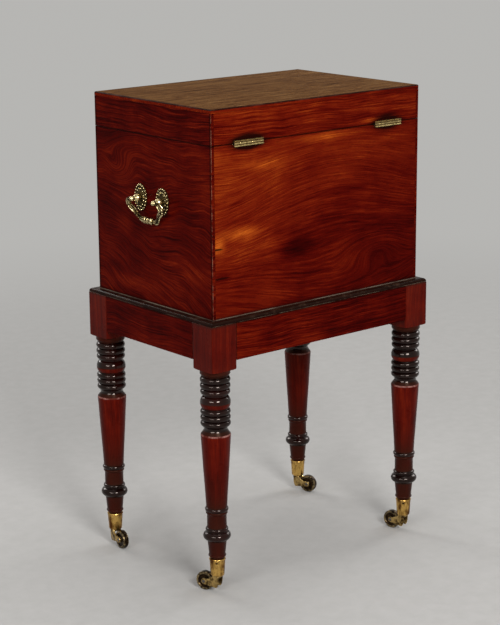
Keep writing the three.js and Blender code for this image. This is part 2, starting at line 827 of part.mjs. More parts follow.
// The lid's sides are lapped at the corners as the chest's are, and its top lies on them
const lidSideHeight = lidHeight - lidTopThickness - gap;
const lidFront = cut(
  longBoard(-1, lidSideHeight),
  block(either(linkPlateWidth / 2 + gap), [pocketFloor, lockInner + overrun], [-overrun, lockPlate + gap]),
);
const lidBack = cut(longBoard(1, lidSideHeight), ...atHinges(() => leafRoom(true)));
add(lid, 'lid_front', lidFront, caseMahogany);
add(lid, 'lid_back', lidBack, caseMahogany);
add(lid, 'lid_left_end', endBoard(-1, lidSideHeight), caseMahogany);
add(lid, 'lid_right_end', endBoard(1, lidSideHeight), caseMahogany);
const lidTopRows = [
  [0, lidHeight - lidTopThickness],
  ...arc([lidTopArris, lidHeight - lidTopArris], lidTopArris, Math.PI, quarterTurn, arrisSteps),
];
add(lid, 'lid_top', easedSlab(chestWidth, chestDepth, lidTopRows), lidMahogany);
add(lid, 'lock_link_plate', linkPlate(), polishedBrass);

// A post passes through its rosette and the end board to a nut let into the board's inner face
function postSolid() {
  const collar = gap + rosetteThickness + rosetteDome + gap;
  const bossTurn = Math.asin((bossOut - collar) / bossRadius);
  const ball = arc([0, pivotOut], ballRadius, -Math.acos(stemRadius / ballRadius), quarterTurn, roundSteps);
  ball[ball.length - 1][0] = 0;
  const profile = [
    [0, -wall + nutSeat - nutThickness],
    [shankRadius, -wall + nutSeat - nutThickness],
    [shankRadius, collar],
    ...arc([0, bossOut], bossRadius, -bossTurn, bossTurn, roundSteps),
    ...ball,
  ];
  const hole = alongY(rod(bailPegRadius + gap, -ballRadius - overrun, ballRadius + overrun, postSides))
    .translate(pivotOut, 0, 0);
  const nut = block(
    [-wall + nutSeat - nutThickness, -wall + nutSeat],
    either(nutSide / 2),
    either(nutSide / 2),
  );
  return cut(join(alongX(turned(profile, postSides)), nut), hole);
}

// An oval rosette with a scalloped edge, domed in the middle, with its face towards +X
const scallopShare = 0.035;
const domeShare = 0.62;

function rosetteSolid() {
  const steps = rosetteLobes * 2;
  const outline = Array.from({ length: steps }, (unused, i) => {
    const angle = (2 * Math.PI * i) / steps;
    const reach = 1 - scallopShare + scallopShare * Math.cos(rosetteLobes * angle);
    return [(rosetteWidth / 2) * reach * Math.cos(angle), (rosetteHeight / 2) * reach * Math.sin(angle)];
  });
  const plate = drawnAlongX(outline, gap, gap + rosetteThickness);
  const dome = alongX(turned([
    [0, gap],
    [1, gap],
    [1, gap + rosetteThickness],
    [domeShare, gap + rosetteThickness + rosetteDome],
    [0, gap + rosetteThickness + rosetteDome],
  ], domeSides));
  dome.scale(1, (rosetteWidth / 2) * domeShare, (rosetteHeight / 2) * domeShare);
  return cut(join(plate, dome), alongX(rod(shankRadius + gap, -overrun, pivotOut, postSides)));
}

// The swan-neck bail: its path as shares of half its span and of its drop, and its thickness at
// each of those points as a share of the ring radius
const bailPathShares = [
  [0.61, 0, 0.35],
  [0.785, 0, 0.35],
  [0.834, 0.017, 0.56],
  [0.917, 0.1, 0.72],
  [0.98, 0.24, 0.8],
  [0.976, 0.367, 0.63],
  [0.902, 0.472, 0.78],
  [0.795, 0.572, 0.74],
  [0.698, 0.683, 0.6],
  [0.624, 0.811, 0.56],
  [0.527, 0.933, 0.63],
  [0.424, 0.989, 0.72],
  [0.346, 1, 0.7],
  [0.278, 1, 0.69],
  [0.249, 1, 0.87],
  [0.195, 1, 1],
  [0.141, 1, 0.87],
  [0.102, 1, 0.67],
  [0.063, 1, 0.85],
  [0, 1, 1],
];

function bailSolid() {
  const half = bailPathShares.map(([out, down, thick]) => [
    new THREE.Vector3(0, (out * bailSpan) / 2, -down * bailDrop),
    thick * bailRingRadius,
  ]);
  const other = half.slice(0, -1).map(([point, thick]) => [point.clone().setY(-point.y), thick]).reverse();
  const stations = [...half, ...other];
  const path = new THREE.CatmullRomCurve3(stations.map(([point]) => point), false, 'centripetal');
  const positions = [];
  const faces = [];
  const last = stations.length - 1;
  const rings = bailRingsAt(last);
  rings.forEach((at) => {
    const centre = path.getPoint(at);
    const ahead = path.getTangent(at);
    const across = new THREE.Vector3(1, 0, 0);
    const up = new THREE.Vector3().crossVectors(ahead, across).normalize();
    const low = Math.min(Math.floor(at * last), last - 1);
    const thick = THREE.MathUtils.lerp(stations[low][1], stations[low + 1][1], at * last - low);
    for (let side = 0; side < bailSides; side += 1) {
      const angle = (2 * Math.PI * side) / bailSides;
      const rim = centre.clone().addScaledVector(across, thick * Math.cos(angle));
      positions.push(...rim.addScaledVector(up, thick * Math.sin(angle)).toArray());
    }
  });
  for (let ring = 0; ring < rings.length - 1; ring += 1) {
    for (let side = 0; side < bailSides; side += 1) {
      const here = ring * bailSides + side;
      const next = ring * bailSides + ((side + 1) % bailSides);
      faces.push(here, next, next + bailSides, here, next + bailSides, here + bailSides);
    }
  }
  const end = (rings.length - 1) * bailSides;
  for (let side = 1; side < bailSides - 1; side += 1) {
    faces.push(0, side + 1, side, end, end + side, end + side + 1);
  }
  const bail = new THREE.BufferGeometry();
  bail.setAttribute('position', new THREE.Float32BufferAttribute(positions, 3));
  bail.setIndex(faces);
  return bail;
}

// Two rings to each stretch of the bail's path on its arms, and one to each station of the grip
const armStretches = 8;

function bailRingsAt(last) {
  const places = [];
  for (let i = 0; i < last; i += 1) {
    places.push(i / last);
    const onArm = i < armStretches || i >= last - armStretches;
    if (onArm) places.push((i + 1 / 2) / last);
  }
  places.push(1);
  return places;
}

// At rest the bail leans in until its rings are a gap off the end board
const bailLean = Math.asin((pivotOut - bailRingRadius - gap) / bailDrop);
const ends = [
  { name: 'right', side: 1, turn: 0 },
  { name: 'left', side: -1, turn: Math.PI },
];

for (const end of ends) {
  const place = new THREE.Matrix4().makeRotationZ(end.turn);
  place.setPosition(end.side * halfWidth, 0, chestHeight - handleDrop);
  const handle = new THREE.Group();
  handle.applyMatrix4(place);
  chest.add(handle);
  const postPlaces = { front: (-end.side * postSpacing) / 2, back: (end.side * postSpacing) / 2 };
  for (const [where, y] of Object.entries(postPlaces)) {
    add(handle, `handle_${end.name}_${where}_rosette`, rosetteSolid(), polishedBrass).position.y = y;
    add(handle, `handle_${end.name}_${where}_post`, postSolid(), polishedBrass).position.y = y;
  }
  const bail = add(handle, `handle_${end.name}_bail`, bailSolid(), polishedBrass);
  bail.position.x = pivotOut;
  bail.rotation.y = bailLean;

  const atPosts = (makeSolid) => either(postSpacing / 2).map((y) => makeSolid().translate(0, y, 0));
  const bores = atPosts(() => alongX(rod(shankRadius + gap, -wall - overrun, overrun, postSides)));
  const nutRooms = atPosts(() => block(
    [-wall - overrun, -wall + nutSeat + gap],
    either(nutSide / 2 + gap),
    either(nutSide / 2 + gap),
  ));
  const tools = [...bores, ...nutRooms].map((tool) => tool.applyMatrix4(place));
  add(chest, `box_${end.name}_end`, cut(endBoard(end.side, chestHeight), bottomRoom(), ...tools), caseMahogany);
}

export default part;
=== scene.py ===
# The looks of the cellarette: polished and stained mahogany, worn brass and baize, in metres.
# The frame's solids stay where their shape is right, and finer pieces stand for the turned,
# cast and soft ones.

from math import acos, asin, cos, hypot, pi, radians, sin, sqrt

import bpy
from mathutils import Matrix, Vector, noise

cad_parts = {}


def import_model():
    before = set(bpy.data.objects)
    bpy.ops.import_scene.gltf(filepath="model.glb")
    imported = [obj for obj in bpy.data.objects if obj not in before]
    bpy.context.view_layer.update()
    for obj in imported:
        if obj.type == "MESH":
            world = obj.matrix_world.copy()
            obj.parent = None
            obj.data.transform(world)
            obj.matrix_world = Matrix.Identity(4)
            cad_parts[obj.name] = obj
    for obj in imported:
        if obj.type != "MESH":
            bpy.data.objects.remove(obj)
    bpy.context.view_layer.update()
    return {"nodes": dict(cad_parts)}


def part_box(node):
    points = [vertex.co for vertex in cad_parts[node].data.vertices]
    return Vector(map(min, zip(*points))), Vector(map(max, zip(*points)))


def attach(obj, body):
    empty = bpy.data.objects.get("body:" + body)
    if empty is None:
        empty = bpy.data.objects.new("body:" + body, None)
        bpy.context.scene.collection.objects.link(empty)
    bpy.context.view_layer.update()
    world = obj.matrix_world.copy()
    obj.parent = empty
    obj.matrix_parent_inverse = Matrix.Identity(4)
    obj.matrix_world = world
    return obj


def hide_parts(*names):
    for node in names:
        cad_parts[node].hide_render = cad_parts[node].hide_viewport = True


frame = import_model()
nodes = frame["nodes"]

MM = 0.001
WHOLE_TURN = 2 * pi
BASE = "stand_and_chest"

# Sizes that the finer pieces share with the solids. END and BACK are half the chest's width and depth.
END = 0.212
BACK = 0.144
STAND_END = 0.2249
STAND_BACK = 0.1569
RAIL_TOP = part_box("rail_back")[1].z
CHEST_BASE, CHEST_TOP = (corner.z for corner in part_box("box_back"))
LID_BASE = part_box("lid_back")[0].z
SEAM = (CHEST_TOP + LID_BASE) / 2
CASTOR_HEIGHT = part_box("castor_back_right_cup")[1].z
MOULDING_TOP = RAIL_TOP + 6 * MM
HALF_BLOCK = 0.0234
BLOCK_BOTTOM = 0.3587
NECK_HEIGHT = 0.0062
LEG_X = STAND_END - HALF_BLOCK
LEG_Y = STAND_BACK - HALF_BLOCK
HANDLE_HEIGHT = CHEST_TOP - 0.0973
POST_SPACING = 0.054
HINGE_X = 0.1427
GAP = 0.3 * MM


# Node materials

class Term:
    """A number, colour or vector that nodes make, so that formulas read as plain arithmetic."""

    def __init__(self, tree, socket, vector=False):
        self.tree = tree
        self.socket = socket
        self.vector = vector

    def work(self, operation, other=None, to_number=False):
        kind = "VectorMath" if self.vector else "Math"
        vector = self.vector and not to_number
        output = "Vector" if vector else "Value"
        return self.tree.source(kind, output, (self, other), vector, operation=operation)

    def __add__(self, other):
        return self.work("ADD", other)

    def __sub__(self, other):
        return self.work("SUBTRACT", other)

    def __mul__(self, other):
        return self.work("MULTIPLY", other)

    def __truediv__(self, other):
        return self.work("DIVIDE", other)

    def __abs__(self):
        return self.work("ABSOLUTE")

    def clamped(self):
        """The same number, kept between 0 and 1."""
        self.socket.node.use_clamp = True
        return self

    def axes(self):
        parts = self.tree.node("SeparateXYZ", (self,)).outputs
        return [Term(self.tree, part) for part in parts]

    def noise(self, scale, detail=2, roughness=0.5, output="Fac"):
        inputs = {"Vector": self, "Scale": scale, "Detail": detail, "Roughness": roughness}
        return self.tree.source("TexNoise", output, inputs, output == "Color")

    def spread(self, low, high, to_low=0, to_high=1, smooth=False):
        """The number carried from one range to another, and held at that range's ends."""
        style = "SMOOTHSTEP" if smooth else "LINEAR"
        return self.tree.source("MapRange", 0, (self, low, high, to_low, to_high), interpolation_type=style)

    def ramp(self, stops):
        made = self.tree.node("ValToRGB", (self,))
        elements = made.color_ramp.elements
        while len(elements) < len(stops):
            elements.new(0.5)
        for element, (at, colour) in zip(elements, stops):
            element.position = at
            element.color = (*colour, 1)
        return Term(self.tree, made.outputs["Color"])

    def between(self, first, second):
        """A blend of two colours, this number being the second one's share."""
        return self.tree.source("Mix", 2, {0: self, 6: first, 7: second}, data_type="RGBA")


class Tree:
    """The nodes of a material or a world."""

    def __init__(self, owner):
        owner.use_nodes = True
        self.nodes = owner.node_tree.nodes
        self.links = owner.node_tree.links

    def put(self, socket, value):
        """Links a term or another node's socket, or writes a plain number, colour or vector."""
        if isinstance(value, Term):
            value = value.socket
        if isinstance(value, bpy.types.NodeSocket):
            self.links.new(value, socket)
        elif value is not None:
            socket.default_value = (*value, 1) if socket.type == "RGBA" else value

    def node(self, kind, inputs=(), **settings):
        """A node with its settings, and what goes into its sockets in order or by key."""
        made = self.nodes.new("ShaderNode" + kind)
        for name, value in settings.items():
            setattr(made, name, value)
        for key, value in inputs.items() if isinstance(inputs, dict) else enumerate(inputs):
            self.put(made.inputs[key], value)
        return made

    def source(self, kind, output, inputs=(), vector=False, **settings):
        return Term(self, self.node(kind, inputs, **settings).outputs[output], vector)

    def seen_directly(self):
        """1 for camera, glossy and transmission rays."""
        path = self.node("LightPath").outputs
        seen = Term(self, path["Is Camera Ray"])
        for name in ("Is Glossy Ray", "Is Transmission Ray"):
            seen = (seen + path[name]).clamped()
        return seen

    def end(self, output, share, first, second):
        """Gives the output node a blend of two shaders, share being the second one's."""
        both = self.node("MixShader", (share, first, second))
        self.put(self.nodes[output].inputs["Surface"], both.outputs[0])


class Shader(Tree):
    """One material, with the place that its noise is taken at."""

    def __init__(self, name):
        self.material = bpy.data.materials.new(name)
        super().__init__(self.material)
        self.surface = self.nodes["Principled BSDF"]
        self.place = self.source("TexCoord", "Object", vector=True)
        self.axes = self.place.axes()

    def bump(self, height, strength, distance=0.4 * MM):
        inputs = {"Strength": strength, "Distance": distance, "Height": height}
        self.put(self.surface.inputs["Normal"], self.source("Bump", 0, inputs))

    def spot(self, centre, reach, ragged=0):
        """1 at the centre of an ellipsoid, falling smoothly to 0 at its edge."""
        away = ((self.place - centre) / reach).work("LENGTH", to_number=True) + ragged
        return away.spread(0, 1, 1, 0, smooth=True)

    def beside(self, axis, at, reach):
        """1 at a height, or at a distance out from the middle, falling to 0 at a reach from it."""
        part = self.axes[axis] if axis == 2 else abs(self.axes[axis])
        return abs(part - at).spread(0, reach, 1, 0, smooth=True)

    def finish(self, colour, roughness, metallic=0, specular=0.5, tint=(1, 1, 1), ior=1.45, sheen=0):
        settings = {
            "Base Color": colour, "Roughness": roughness, "Metallic": metallic, "IOR": ior,
            "Specular IOR Level": specular, "Specular Tint": tint, "Sheen Weight": sheen,
        }
        for name, value in settings.items():
            self.put(self.surface.inputs[name], value)
        return self.material


# Mahogany from its darkest streaks to its most orange ones
MAHOGANY = [
    (0, (0.014, 0.0004, 0.0004)),
    (0.2, (0.036, 0.0006, 0.0005)),
    (0.4, (0.08, 0.0025, 0.0009)),
    (0.6, (0.15, 0.0095, 0.002)),
    (0.8, (0.27, 0.036, 0.004)),
    (1, (0.52, 0.105, 0.01)),
]
# Near-black old polish in pores, stains and seams, also used as the colour of painted shade
OLD_POLISH_AND_SHADE = (0.007, 0.0012, 0.0009)
RED_GLOSS = (1, 0.5, 0.35)
# Pale rubbed wood, also the colour of the painted highlight on the chest's upright corners
RUBBED_AND_HIGHLIGHT = (0.24, 0.105, 0.065)
DUST = (0.26, 0.2, 0.15)

# How far grain is drawn out along its board, the scales at which it drifts and ripples, and for
# grain along X, Y and Z the axis that it doesn't drift along
STRETCH = 0.028
DRIFT_SCALE = 7
RIPPLE_SCALE = 32
STILL_AXIS = (1, 0, 2)
# A polished board's figure: noise scale, detail, roughness and weight in the tone
BANDS = (48, 4, 0.55, 0.34)
STREAKS = (210, 5, 0.65, 0.42)
FINE = (560, 3, 0.7, 0.95)
CLOUD = (16, 3, 0.55, 0.4)
PORE_SCALE = 2400
CHEST_MIDDLE = (0, 0, (CHEST_BASE + CHEST_TOP) / 2)
# How deep into its board a patch of figure goes, and a stain on it
THROUGH = 0.2
SKIN = 0.02


def grain_of(shader, along, seed, swirl=None, hills=(), twist=0, wander=0.03, ripple=0.003):
    """A place whose noise runs as the board's grain does: along it, and bulging round its swirl."""
    start = shader.place + seed
    where = shader.place
    for scale, reach in ((DRIFT_SCALE, wander), (RIPPLE_SCALE, ripple)):
        flat = [reach] * 3
        flat[STILL_AXIS[along]] = 0
        where = where + (start.noise(scale, 2, 0.5, "Color") - (0.5, 0.5, 0.5)) * flat
    if swirl is None:
        stretch = [1] * 3
        stretch[along] = STRETCH
        return where * stretch + seed
    centre, reach, swell = swirl
    parts = where.axes()
    level = parts[2] - centre[2]
    turned = level * (parts[along] - centre[along]) * -twist
    level = (level + turned) / (shader.spot(centre, reach) * swell + 1)
    for place, size, height in hills:
        level = level + shader.spot(place, size) * height
    return shader.source("CombineXYZ", 0, (shader.axes[along] * STRETCH, seed[0], level), True)


def pores_of(shader, along, length_scale):
    """Short dark dashes along the grain."""
    scales = [PORE_SCALE] * 3
    scales[along] = length_scale
    return (shader.place * scales).noise(1, 1, 0.5)


def mahogany(name, along, face, base, slope=(0, 0, 0), seed=(0, 0, 0), swirl=None, hills=(), twist=0,
             patches=(), stains=(), cracks=(), shade_and_seams=(), dust=False, arris=False, depth=1, wander=0.03,
             ripple=0.003):
    """Figured mahogany, its show face at a distance from the middle.

    slope is how much lighter it gets per metre along each axis. A swirl, hill, patch, stain or crack is
    its place along the board and its height, half its length and height, all in millimetres, and its
    strength."""

    def on_face(rows, deep=THROUGH):
        for *sizes, strength in rows:
            place, height, half, tall = (size * MM for size in sizes)
            centre, reach = (place, face, height), (half, deep, tall)
            if along == 1:
                centre, reach = (face, place, height), (deep, half, tall)
            yield centre, reach, strength

    shader = Shader(name)
    swirl = next(on_face([swirl])) if swirl else None
    bent = grain_of(shader, along, seed, swirl, on_face(hills), twist, wander, ripple)
    bands, streaks, fine = (bent.noise(*layer[:3]) for layer in (BANDS, STREAKS, FINE))
    cloud = (shader.place + seed).noise(*CLOUD[:3])
    lines = (bent + (0.31, 0.7, 0.13)).noise(230, 2, 0.5)
    tone = (shader.place - CHEST_MIDDLE).work("DOT_PRODUCT", slope, to_number=True) + base
    for layer, (*_, weight) in ((bands, BANDS), (streaks, STREAKS), (fine, FINE), (cloud, CLOUD)):
        tone = tone + (layer - 0.5) * (weight * depth)
    tone = tone + lines.spread(0.32, 0.42, -1, 0) * (0.12 * depth)
    ragged = (bands + streaks * 0.6 - 0.8) * 0.9
    for centre, reach, strength in on_face(patches):
        tone = tone + shader.spot(centre, reach, ragged) * strength
    dashes = pores_of(shader, along, 130)
    colour = dashes.spread(0.3, 0.42, 0.6, 1).between(OLD_POLISH_AND_SHADE, tone.ramp(MAHOGANY))
    for centre, reach, strength in (*on_face(stains, SKIN), *on_face(cracks)):
        stained = shader.spot(centre, reach, ragged).spread(0.05, 0.55) * strength
        colour = stained.between(colour, OLD_POLISH_AND_SHADE)
    uneven = cloud.spread(0.3, 0.65, 0.75, 1)
    # Painted shade above and below the moulding and beside the upright corners, and dark lines along the
    # lid's seam
    for axis, at, reach, strength in shade_and_seams:
        colour = (shader.beside(axis, at, reach) * uneven * strength).between(colour, OLD_POLISH_AND_SHADE)
    if dust:
        line = shader.beside(2, MOULDING_TOP + 0.4 * MM, 1.3 * MM)
        colour = (line * cloud.spread(0.38, 0.6, 0.2, 0.8)).between(colour, DUST)
    # The upright corners are painted pale: rubbed wear and a painted highlight
    if arris:
        colour = rubbed_and_highlit_corner(shader).between(colour, RUBBED_AND_HIGHLIGHT)
    gloss = shader.place.noise(30, 3, 0.6).spread(0.3, 0.7, 0.26, 0.38)
    shader.bump(dashes * 0.4 + streaks * 0.5, 0.06)
    return shader.finish(colour, gloss, specular=0.06, tint=RED_GLOSS, ior=1.25)


def rubbed(shader, patch=75):
    """1 in patches along an arris where it is painted pale: rubbed wear, and on some arrises a painted
    highlight. A lower patch number makes longer ones.
    """
    return shader.place.noise(patch, 4, 0.7).spread(0.44, 0.6)


def rubbed_and_highlit_corner(shader):
    """1 where the chest's upright arrises are painted pale: rubbed down to pale wood, with a painted
    highlight along them.
    """
    pale_share = rubbed(shader)
    for axis, half in enumerate((END, BACK)):
        pale_share = pale_share * abs(shader.axes[axis]).work("GREATER_THAN", half - 0.55 * MM)
    return pale_share


def pale_edge(name, colour, tip, corner=False, seam=None, patch=75):
    """The arris of a board, painted pale in places, on its outer corners alone where it has a corner.

    The pale is rubbed wear, with a painted highlight as well on the chest's corners and the moulding; on the
    legs' shoulders it is a painted highlight alone.
    Round a seam's height it is black with gathered polish."""
    shader = Shader(name)
    pale_share = rubbed_and_highlit_corner(shader) if corner else rubbed(shader, patch)
    if seam:
        colour = shader.beside(2, seam, 5 * MM).spread(0, 0.4).between(colour, OLD_POLISH_AND_SHADE)
    return shader.finish(pale_share.between(colour, tip), 0.4, specular=0.04, tint=RED_GLOSS)


def brass(name, bright, patina, dull, scale, rough=0.3, runs=1, barrel=None):
    """Cast brass: bright where it is rubbed, browned in the low and sheltered places.

    barrel is the height of a hinge's pin: two dark lines of painted shade run along the hinge above and
    below it, where its leaves meet the knuckle."""
    shader = Shader(name)
    place = shader.place * (1, 1, runs)
    clouds = place.noise(scale, 4, 0.62)
    grime = place.noise(scale * 4.1, 3, 0.6)
    open_to_air = shader.source("AmbientOcclusion", "AO", {"Distance": 2 * MM}, only_local=True, samples=8)
    sunk = open_to_air.spread(0.45, 0.95, 1, 0)
    patina_and_shade = (clouds.spread(0.42, 0.62, 0, dull) + sunk).clamped()
    if barrel is not None:
        # Painted shade in the creases where the hinge's leaves meet its knuckle
        line = abs(abs(shader.axes[2] - barrel) - 1.5 * MM) + (grime - 0.5) * (0.8 * MM)
        patina_and_shade = patina_and_shade.work("MAXIMUM", line.spread(0.4 * MM, 0.75 * MM, 1, 0))
    specks = grime.spread(0.55, 0.7, 0, 0.7)
    colour = specks.between(patina_and_shade.between(bright, patina), [part * 0.35 for part in patina])
    shader.bump(clouds + grime, 0.25, 0.6 * MM)
    soiled = grime * 0.3 + patina_and_shade * 0.7
    return shader.finish(colour, soiled.spread(0.1, 0.9, rough, rough + 0.3), metallic=1)


def wheel_bronze(name):
    """The castor wheels: nearly black, rubbed bright on their rims."""
    shader = Shader(name)
    clouds = shader.place.noise(210, 4, 0.62)
    pointed = shader.source("NewGeometry", "Pointiness")
    bright = (pointed + clouds * 0.14).spread(0.6, 0.65)
    dark = clouds.ramp([(0.38, (0.01, 0.006, 0.004)), (0.66, (0.05, 0.028, 0.013))])
    shader.bump(clouds, 0.3, 0.6 * MM)
    return shader.finish(bright.between(dark, (0.5, 0.38, 0.2)), bright.spread(0, 1, 0.38, 0.22), 1)


def steel(name):
    shader = Shader(name)
    spots = shader.place.noise(260, 4, 0.6)
    shader.bump(spots, 0.2, 0.3 * MM)
    return shader.finish(spots.ramp([(0.35, (0.06, 0.045, 0.035)), (0.65, (0.2, 0.18, 0.16))]), 0.45, 1)


def plain_wood(name, along):
    """Unpolished mahogany of the inside: straight grain, dull, browner than the show faces."""
    shader = Shader(name)
    bent = grain_of(shader, along, (3.1, 0.4, 1.7))
    fine = bent.noise(600, 3, 0.6)
    tone = bent.noise(90, 4, 0.6) * 0.7 + fine * 0.3
    shader.bump(fine, 0.2)
    return shader.finish(tone.ramp([
        (0.3, (0.085, 0.028, 0.011)),
        (0.5, (0.16, 0.06, 0.024)),
        (0.72, (0.25, 0.11, 0.045)),
    ]), 0.6, specular=0.2)


def faded_top(name):
    """The lid's top has faded to a straight-grained olive brown with dark lines."""
    shader = Shader(name)
    bent = grain_of(shader, 0, (0.7, 0.2, 0.1), wander=0.022)
    streaks = bent.noise(480, 4, 0.7)
    lines = (bent + (0.2, 0.4, 0.1)).noise(190, 3, 0.55).spread(0.33, 0.43, -1, 0)
    tone = bent.noise(60, 5, 0.62) * 0.26 + (streaks - 0.25) * 1.1
    tone = tone + shader.place.noise(9, 3, 0.5) * 0.11 + lines * 0.16
    colour = tone.ramp([
        (0.28, (0.034, 0.012, 0.0038)),
        (0.42, (0.094, 0.039, 0.0125)),
        (0.54, (0.142, 0.067, 0.0225)),
        (0.72, (0.232, 0.124, 0.046)),
    ])
    pores = pores_of(shader, 0, 120)
    colour = pores.spread(0.3, 0.44, 0.35, 1).between((0.02, 0.007, 0.003), colour)
    for axis, at in enumerate((END, BACK)):
        colour = (shader.beside(axis, at, 4 * MM) * 0.75).between(colour, OLD_POLISH_AND_SHADE)
    shader.bump(streaks + pores, 0.1)
    return shader.finish(colour, 0.5, specular=0.02, tint=(1, 0.8, 0.6), ior=1.2)


def turned_wood(name, dark, specular, rough, ior, tint):
    """The legs: red-brown on the plain shafts and blocks, nearly black in the rings."""
    shader = Shader(name)
    stain = shader.source("Attribute", "Fac", attribute_name="stain")
    bent = grain_of(shader, 2, (1.9, 5.3, 0.2), wander=0.012, ripple=0.002)
    bands = bent.noise(120, 4, 0.6)
    streaks = bent.noise(520, 4, 0.7)
    cloud = shader.place.noise(24, 3, 0.6)
    tone = shader.axes[2].spread(0.16, 0.36, 0.36, 0.41)
    for layer, weight in ((bands, 0.5), (streaks, 0.5), (cloud, 0.35)):
        tone = tone + (layer - 0.5) * weight
    darkened = (stain * cloud.spread(0.3, 0.6, 0.85, 1.05)).clamped()
    shader.bump(streaks + bands * 0.5, 0.05)
    gloss = cloud.spread(0.3, 0.7, rough, rough + 0.1)
    return shader.finish(darkened.between(tone.ramp(MAHOGANY), dark), gloss, 0, specular, tint, ior)


def dark_moulding(name):
    """The moulding: nearly black brown, darker towards its foot as painted shade, and rubbed grey-red along
    its top, where the rubbing also stands for its sheen as a painted highlight.
    """
    shader = Shader(name)
    bands = grain_of(shader, 0, (0.3, 2.2, 0.9)).noise(80, 3, 0.6)
    rub_and_sheen = shader.place.noise(65, 4, 0.65)
    wood = bands.ramp([(0.35, (0.008, 0.003, 0.0018)), (0.65, (0.022, 0.007, 0.004))])
    height = shader.axes[2].spread(RAIL_TOP + 1.2 * MM, MOULDING_TOP - 1 * MM)
    # Painted shade: the moulding grows darker towards its foot
    colour = height.between(OLD_POLISH_AND_SHADE, wood)
    # Rubbed patches along its top, which also stand for its sheen as a painted highlight
    colour = (rub_and_sheen.spread(0.52, 0.66, 0, 0.5) * height).between(colour, (0.06, 0.03, 0.018))
    shader.bump(rub_and_sheen, 0.08, 0.5 * MM)
    return shader.finish(colour, 0.22, specular=0.14, tint=(1, 0.92, 0.8), ior=1.3)


def wool(name):
    """Green baize: a felted wool nap with no visible weave."""
    shader = Shader(name)
    nap = shader.place.noise(2400, 3, 0.7)
    colour = (nap * 0.45 + shader.place.noise(26, 3, 0.6) * 0.55).ramp([
        (0.3, (0.01, 0.034, 0.014)),
        (0.55, (0.022, 0.075, 0.03)),
        (0.75, (0.045, 0.12, 0.052)),
    ])
    shader.bump(nap, 0.5, 0.6 * MM)
    return shader.finish(colour, 0.95, specular=0.15, sheen=0.4)


# Finishes. Darkening lies along an axis and a place on it, with a reach and a strength: painted shade above
# and below the moulding and beside the chest's upright corners, and dark lines along the lid's seam.

# Painted shade along the box's foot above the moulding, and a dark line along the lid's seam
BOX_SHADE_AND_SEAM = [(2, MOULDING_TOP, 6 * MM, 0.95), (2, CHEST_TOP, 2.2 * MM, 0.75)]
LID_DIRT = [(2, LID_BASE, 2.2 * MM, 0.75)]
# Painted shade along the rails' tops, under the moulding
RAIL_SHADE = [(2, RAIL_TOP, 3 * MM, 0.8)]
# Where a band of painted shade runs beside the chest's upright corners
CORNER = BACK - 2.8 * MM
# Polish gathered round the handles' rosettes, with painted shade below them
ROSETTE_STAINS_AND_SHADE = [
    (way * POST_SPACING / 2 / MM, HANDLE_HEIGHT / MM - 2, 24, 31, 0.7) for way in (-1, 1)
]


def hinge_stains(height):
    return [(side * HINGE_X / MM, height / MM, 46, 19, 0.95) for side in (-1, 1)]


back_figure = mahogany(
    "mahogany_back", 0, BACK, 0.475, (0.42, 0, 0.72),
    swirl=(-30, 512, 270, 200, 1.6),
    hills=[(-128, 501, 105, 50, -0.019)],
    patches=[
        (158, 562, 62, 18, 0.34), (202, 548, 22, 22, 0.3), (150, 532, 90, 45, 0.16),
        (112, 660, 80, 16, 0.16), (-5, 689, 120, 11, 0.2), (-140, 673, 80, 12, 0.16),
        (40, 527, 52, 26, -0.26), (-10, 556, 100, 32, -0.12), (-45, 602, 110, 10, -0.15),
        (-128, 499, 40, 22, -0.1), (-140, 530, 90, 40, -0.08), (80, 455, 90, 18, 0.14),
        (196, 500, 30, 14, -0.12),
    ],
    stains=hinge_stains(CHEST_TOP),
    cracks=[(202, 543, 14, 2.4, 0.9), (196, 498.5, 24, 2.4, 0.8)],
    shade_and_seams=BOX_SHADE_AND_SEAM, dust=True, seed=(0.3, 0, 0.11), wander=0.02, ripple=0.0018, depth=0.9,
)
front_figure = mahogany(
    "mahogany_front", 0, -BACK, 0.46, (-0.35, 0, 0.5),
    swirl=(40, 545, 240, 190, 1.4),
    hills=[(70, 540, 80, 36, -0.02)],
    patches=[(-150, 590, 80, 25, 0.22), (40, 545, 90, 30, -0.14)],
    shade_and_seams=BOX_SHADE_AND_SEAM, dust=True, seed=(4.3, 0.2, 2.1),
)
end_board = {
    "stains": ROSETTE_STAINS_AND_SHADE, "shade_and_seams": [*BOX_SHADE_AND_SEAM, (1, CORNER, 2.6 * MM, 0.8)],
    "dust": True, "arris": True, "ripple": 0.005,
}
end_figure = mahogany(
    "mahogany_right_end", 1, END, 0.36, (0, 0.16, 0.06), **end_board,
    swirl=(-30, 630, 120, 100, 1.3), twist=1.8,
    hills=[(-85, 640, 50, 40, 0.02)],
    patches=[
        (-45, 461, 75, 18, 0.26), (-78, 549, 40, 30, 0.14), (105, 496, 65, 24, 0.14),
        (-95, 640, 40, 16, 0.16), (-5, 620, 80, 34, -0.14), (-100, 482, 50, 16, -0.12),
    ],
    seed=(0.2, 1.3, 0.6), wander=0.065, depth=1.12,
)
left_figure = mahogany(
    "mahogany_left_end", 1, -END, 0.4, (0, -0.25, 0.2), **end_board,
    swirl=(30, 590, 120, 110, 1.2), twist=-1.4,
    hills=[(60, 600, 50, 40, 0.018)],
    patches=[(-60, 490, 80, 20, 0.16)],
    seed=(2.2, 0.3, 3.6), wander=0.06,
)
lid_back_figure = mahogany(
    "mahogany_lid_back", 0, BACK, 0.5, (0.2, 0, 0),
    patches=[(-100, 705, 30, 6, 0.25)], stains=hinge_stains(LID_BASE), shade_and_seams=LID_DIRT,
    seed=(7.1, 0.2, 0.9), wander=0.016, ripple=0.0022, depth=1.1,
)
